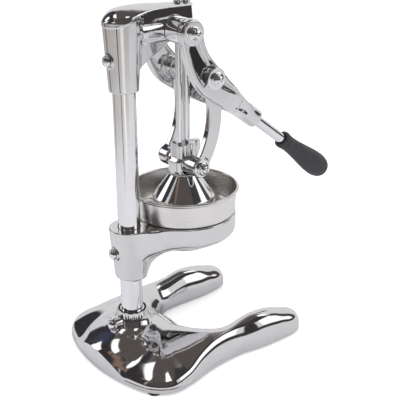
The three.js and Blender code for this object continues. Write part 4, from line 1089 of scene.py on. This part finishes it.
def make_pivots():
    shaft, pin = 6.0, 4.0
    end = nut_seat(ARM_FACE) + PIN_REACH
    points = [(0, -end), (shaft, -end, 0.6), (shaft, end, 0.6), (0, end)]
    make("top_pivot_shaft", along_y(lathe(points, 0.5, 64), TOP), "stand", CHROME, weighted=True)
    collar = ring(14.0, SHAFT_HOLE, 9.3, 32.7, 0.9)
    make_pair("pivot_collar", along_y(collar, TOP), "stand", CHROME, weighted=True)
    make_washers_and_nuts("top", TOP, "stand", ARM_FACE, 13.0, shaft)
    points = [(0, 19.7), (8.0, 19.7, 0.8), (8.5, 20.6, 0.5), (8.5, 22.7, 0.3), (pin, 22.7, 0),
              (pin, end, 0.5), (0, end)]
    make_pair("mid_bolt", along_y(lathe(points, 0.3, 64), MID), "lever", CHROME, weighted=True)
    make_washers_and_nuts("mid", MID, "lever", ARM_FACE, 12.0, pin)
    end = nut_seat(LINK_FACE) + PIN_REACH
    points = [(0, 18.1), (pin, 18.1, 0.4), (pin, end, 0.5), (0, end)]
    make_pair("low_pin", along_y(lathe(points, 0.4, 64), LOW), "links", CHROME, weighted=True)
    make_washers_and_nuts("low", LOW, "links", LINK_FACE, 10.5, pin)


# Handle: places along its axis, and the grip's radius by distance from the grip's mouth

ROD_FROM, ROD_TO, BORE_END = 93.3, 230.2, 230.5
FERRULE_START, FERRULE_END, GRIP_END = 175.5, 181.5, 271.7
GRIP = [(10.3, 1.0), (9.9, 8), (10.2, 18), (11.8, 34), (14.0, 52), (15.0, 66), (14.5, 76), (12.0, 84.0),
        (8.0, 88.2), (3.6, 89.7)]


def make_handle():
    points = [(0, ROD_FROM), (HANDLE_RADIUS, ROD_FROM, 0.6), (HANDLE_RADIUS, ROD_TO, 0.6), (0, ROD_TO)]
    make("handle_rod", along_handle(lathe(points, 0.5, 96)), "lever", CHROME, weighted=True)
    start = FERRULE_START
    points = [(HANDLE_HOLE, start), (9.2, start, 0.6), (10.8, start + 1.6, 0.8), (10.8, start + 5.6, 0.5),
              (9.6, FERRULE_END, 0.2), (HANDLE_HOLE, FERRULE_END)]
    make("grip_ferrule", along_handle(lathe_ring(points, 0.3, 96, 5)), "lever", PLASTIC, weighted=True)
    start = FERRULE_END + GAP
    profile = [(0, BORE_END), (HANDLE_HOLE, BORE_END), (HANDLE_HOLE, start + 1.2), (7.4, start + 0.4),
               (9.0, start), (9.9, start + 0.2), *spline([(r, start + along) for r, along in GRIP], 8),
               (0, GRIP_END)]
    make("handle_grip", along_handle(turned(profile, 96)), "lever", PLASTIC)


# Feet


def make_feet():
    front, rear = (BASE_OUTER[0][0] * BASE_FRONT, 73), (-27, 80)
    points = [(0, 0), (7.3, 0, 0.5), (8, 1.2, 0.8), (8, 4.2, 0.3), (0, 4.2)]
    for end, (x, y) in (("front", front), ("rear", rear)):
        for side, sign in (("left", -1), ("right", 1)):
            mesh = lathe(points, 0.4, 64, x=x, y=sign * y)
            make(f"foot_{end}_{side}", mesh, "stand", RUBBER, weighted=True)


# Camera, at the photograph's viewing angle


def make_camera():
    data = bpy.data.cameras.new("camera")
    data.lens = 77.04
    data.sensor_width = 36.0
    data.sensor_fit = "HORIZONTAL"
    data.clip_start, data.clip_end = 0.05, 50
    cam = bpy.data.objects.new("camera", data)
    bpy.context.scene.collection.objects.link(cam)
    right = Vector((0.78486, -0.61966, -0.00370))
    up = Vector((0.23785, 0.29575, 0.92518))
    ahead = Vector((0.57220, 0.72702, -0.37951))
    turn = Matrix((right, up, -ahead)).transposed().to_4x4()
    place = Vector((-475.0 + SHIFT[0], -730.8 + SHIFT[1], 551.0)) * MM
    cam.matrix_world = Matrix.Translation(place) @ turn
    bpy.context.scene.camera = cam


# Lamps, as name, place, what they aim at, size and power; metal doesn't mirror them

LAMPS = [
    ("left_box", (-1.05, -0.35, 1.75), (0, 0, 0.2), (0.8, 0.6), 9),
    ("right_box", (0.15, -1.05, 1.8), (0, 0, 0.2), (0.5, 0.6), 7),
    ("back_box", (0.9, 0.9, 1.9), (0, 0, 0.1), (0.9, 0.9), 8),
]


def make_lights():
    for name, place, aim, size, power in LAMPS:
        data = bpy.data.lights.new(name, "AREA")
        data.shape = "RECTANGLE"
        data.size, data.size_y = size
        data.energy = power
        lamp = bpy.data.objects.new(name, data)
        lamp.location = place
        lamp.rotation_mode = "QUATERNION"
        lamp.rotation_quaternion = (Vector(aim) - Vector(place)).to_track_quat("-Z", "Y")
        lamp.visible_glossy = False
        bpy.context.scene.collection.objects.link(lamp)


# The studio that the chrome mirrors. Directions are degrees round from the camera's side, positive to its
# right, and degrees above the horizon.

CAMERA_SIDE = (-0.60, -0.80)
CAMERA_RIGHT = (0.80, -0.60)

# The room, as (colour, from and to round, from and to up, softness), later ones over earlier; past 180 is
# all round
ROOM = [
    ((0.78, 0.78, 0.80), -400, 400, -90, 14, 3),
    ((0.80, 0.80, 0.81), -400, 400, 14, 46, 5),
    ((0.26, 0.24, 0.23), -400, 400, 50, 120, 4),
    ((0.105, 0.092, 0.086), -400, 400, 60, 120, 2),
    ((0.040, 0.036, 0.040), -148, 56, -2, 59, 2.5),
    ((0.045, 0.045, 0.050), 54, 104, 37, 62, 2),
    ((0.085, 0.075, 0.072), -44, 44, 10, 58, 6),
    ((0.05, 0.06, 0.11), -135, -112, 25, 50, 6),
    ((0.26, 0.17, 0.13), -82, -38, 47, 56, 2),
    ((0.06, 0.05, 0.045), -68, -64, 44, 58, 1.5),
    ((0.30, 0.17, 0.11), -88, -80, 16, 30, 1.5),
    ((0.42, 0.40, 0.40), -54, -48, 8, 44, 1.2),
    ((1.5, 1.5, 1.5), -112, -64, 57, 67, 1.2),
    ((1.5, 1.5, 1.5), 14, 44, 60, 77, 1.2),
    ((1.4, 1.4, 1.4), 106, 124, 44, 56, 1.5),
    ((1.5, 1.5, 1.5), -118, -98, 6, 40, 1.2),
    ((1.5, 1.5, 1.5), 68, 98, 10, 37, 1.2),
    ((0.05, 0.045, 0.045), 50, 114, -8, 9, 1.5),
    ((0.06, 0.06, 0.065), -130, -124, -1, 44, 1.5),
    ((0.085, 0.07, 0.065), 100, 117, -3, 40, 1.5),
]


# Painted shade and light on the floor that only metal sees, laid over a darker copy of the floor's colour, as
# (colour, metres away, softness, from and to round, softness)
MIRRORED_FLOOR_SHADE = (0.77, 0.765, 0.79)
# Patches painted on the floor for metal to mirror: painted shade far off, a painted bright band, and painted
# dark and brown stripes
FLOOR = [
    ((0.06, 0.055, 0.055), 1.35, 0.12, -75, 60, 6),
    ((0.60, 0.58, 0.56), 0.95, 0.25, -160, 40, 6),
    ((0.95, 0.95, 0.95), 0.8, 0.2, -9, 8, 2),
    ((0.07, 0.06, 0.06), 0.74, 0.16, -31, -26, 1.5),
    ((0.26, 0.20, 0.17), 0.8, 0.1, -108, -98, 2),
    ((0.05, 0.045, 0.045), 2.4, 0.3, 46, 114, 5),
]


def maths(tree, operation, *values):
    return add_node(tree, "Math", dict(enumerate(values)), operation=operation).outputs[0]


def soft_step(tree, value, at, soft):
    """0 below a value and 1 above it, with a soft step."""
    inputs = {"Value": value, "From Min": at - soft, "From Max": at + soft}
    return add_node(tree, "MapRange", inputs, interpolation_type="SMOOTHSTEP").outputs["Result"]


def soft_band(tree, value, low, high, soft):
    return maths(tree, "SUBTRACT", soft_step(tree, value, low, soft), soft_step(tree, value, high, soft))


def over(tree, below, colour, cover):
    """A colour laid over what is below it, as far as it covers."""
    inputs = {"Factor": cover, "A": below, "B": (*colour, 1)}
    return add_node(tree, "Mix", inputs, data_type="RGBA").outputs["Result"]


def mix_shader(tree, share, first, second):
    return add_node(tree, "MixShader", {0: share, 1: first, 2: second}).outputs[0]


def background(tree, colour, strength):
    return add_node(tree, "Background", {"Color": colour, "Strength": strength}).outputs[0]


def diffuse(tree, colour):
    return add_node(tree, "BsdfDiffuse", {"Color": colour}).outputs[0]


def bearing(tree, vector):
    """Degrees round from the camera's side and degrees above the horizon."""
    x, y, z = add_node(tree, "SeparateXYZ", {0: vector}).outputs
    ahead, right = [maths(tree, "ADD", maths(tree, "MULTIPLY", x, way[0]), maths(tree, "MULTIPLY", y, way[1]))
                    for way in (CAMERA_SIDE, CAMERA_RIGHT)]
    turn = maths(tree, "DEGREES", maths(tree, "ARCTAN2", right, ahead))
    return turn, maths(tree, "DEGREES", maths(tree, "ARCSINE", z))


def make_world():
    """White to the camera, plain soft light to what isn't metal, and the room to metal."""
    world = bpy.data.worlds.new("studio")
    bpy.context.scene.world = world
    tree = start_tree(world)
    turn, rise = bearing(tree, add_node(tree, "TexCoord").outputs["Generated"])
    colour = (*ROOM[0][0], 1)
    for tone, left, right, low, high, soft in ROOM[1:]:
        cover = soft_band(tree, rise, low, high, soft)
        if left > -180:
            cover = maths(tree, "MULTIPLY", cover, soft_band(tree, turn, left, right, soft))
        colour = over(tree, colour, tone, cover)
    white = (1, 1, 1, 1)
    ray = add_node(tree, "LightPath").outputs
    soft, room = background(tree, white, 0.6), background(tree, colour, 1.0)
    indirect = mix_shader(tree, ray["Is Glossy Ray"], soft, room)
    direct = maths(tree, "MAXIMUM", ray["Is Camera Ray"], ray["Is Transmission Ray"])
    surface = mix_shader(tree, direct, indirect, background(tree, white, 1.0))
    add_node(tree, "OutputWorld", {"Surface": surface})


def make_floor():
    """A pale sweep. To metal it shows a darker copy of its colour as painted shade, painted shade where its
    far part on the camera's side falls off into the dark room, and painted bands of light and colour.
    """
    mesh = bpy.data.meshes.new("floor")
    reach = 6.0
    corners = [(-reach, -reach, 0), (reach, -reach, 0), (reach, reach, 0), (-reach, reach, 0)]
    mesh.from_pydata(corners, [], [(0, 1, 2, 3)])
    floor = bpy.data.objects.new("floor", mesh)
    bpy.context.scene.collection.objects.link(floor)
    mat, tree, at = new_material("pale_floor_painted_for_metal")
    turn, _ = bearing(tree, at)
    away = add_node(tree, "VectorMath", {0: at}, operation="LENGTH").outputs["Value"]
    # The painted shade and light start from a darker copy of the floor's colour, which is painted shade
    tone = (*MIRRORED_FLOOR_SHADE, 1)
    for colour, distance, fade, left, right, soft in FLOOR:
        cover = maths(tree, "MULTIPLY", soft_step(tree, away, distance, fade),
                      soft_band(tree, turn, left, right, soft))
        tone = over(tree, tone, colour, cover)
    plain = diffuse(tree, (0.86, 0.86, 0.88, 1))
    glow = add_node(tree, "Emission", {"Strength": 0.45}).outputs[0]
    lit = add_node(tree, "AddShader", {0: plain, 1: glow}).outputs[0]
    ray = add_node(tree, "LightPath").outputs
    # Glossy rays see the darker copy with its painted shade and light; other rays see the plain floor
    unseen = mix_shader(tree, ray["Is Glossy Ray"], plain, diffuse(tree, tone))
    surface = mix_shader(tree, ray["Is Camera Ray"], unseen, lit)
    add_node(tree, "OutputMaterial", {"Surface": surface})
    mesh.materials.append(mat)


make_camera()
make_world()
make_floor()
make_lights()
make_base()
make_feet()
for screw in SCREWS:
    make_set_screw(screw)
make_post()
make_bracket()
make_bowl()
make_strainer()
make_reamer()
make_press_cone()
make_cone_bolt()
make_neck()
make_rods()
make_head()
make_fork()
make_links()
make_pivots()
make_handle()

bpy.context.scene.view_settings.view_transform = "Standard"
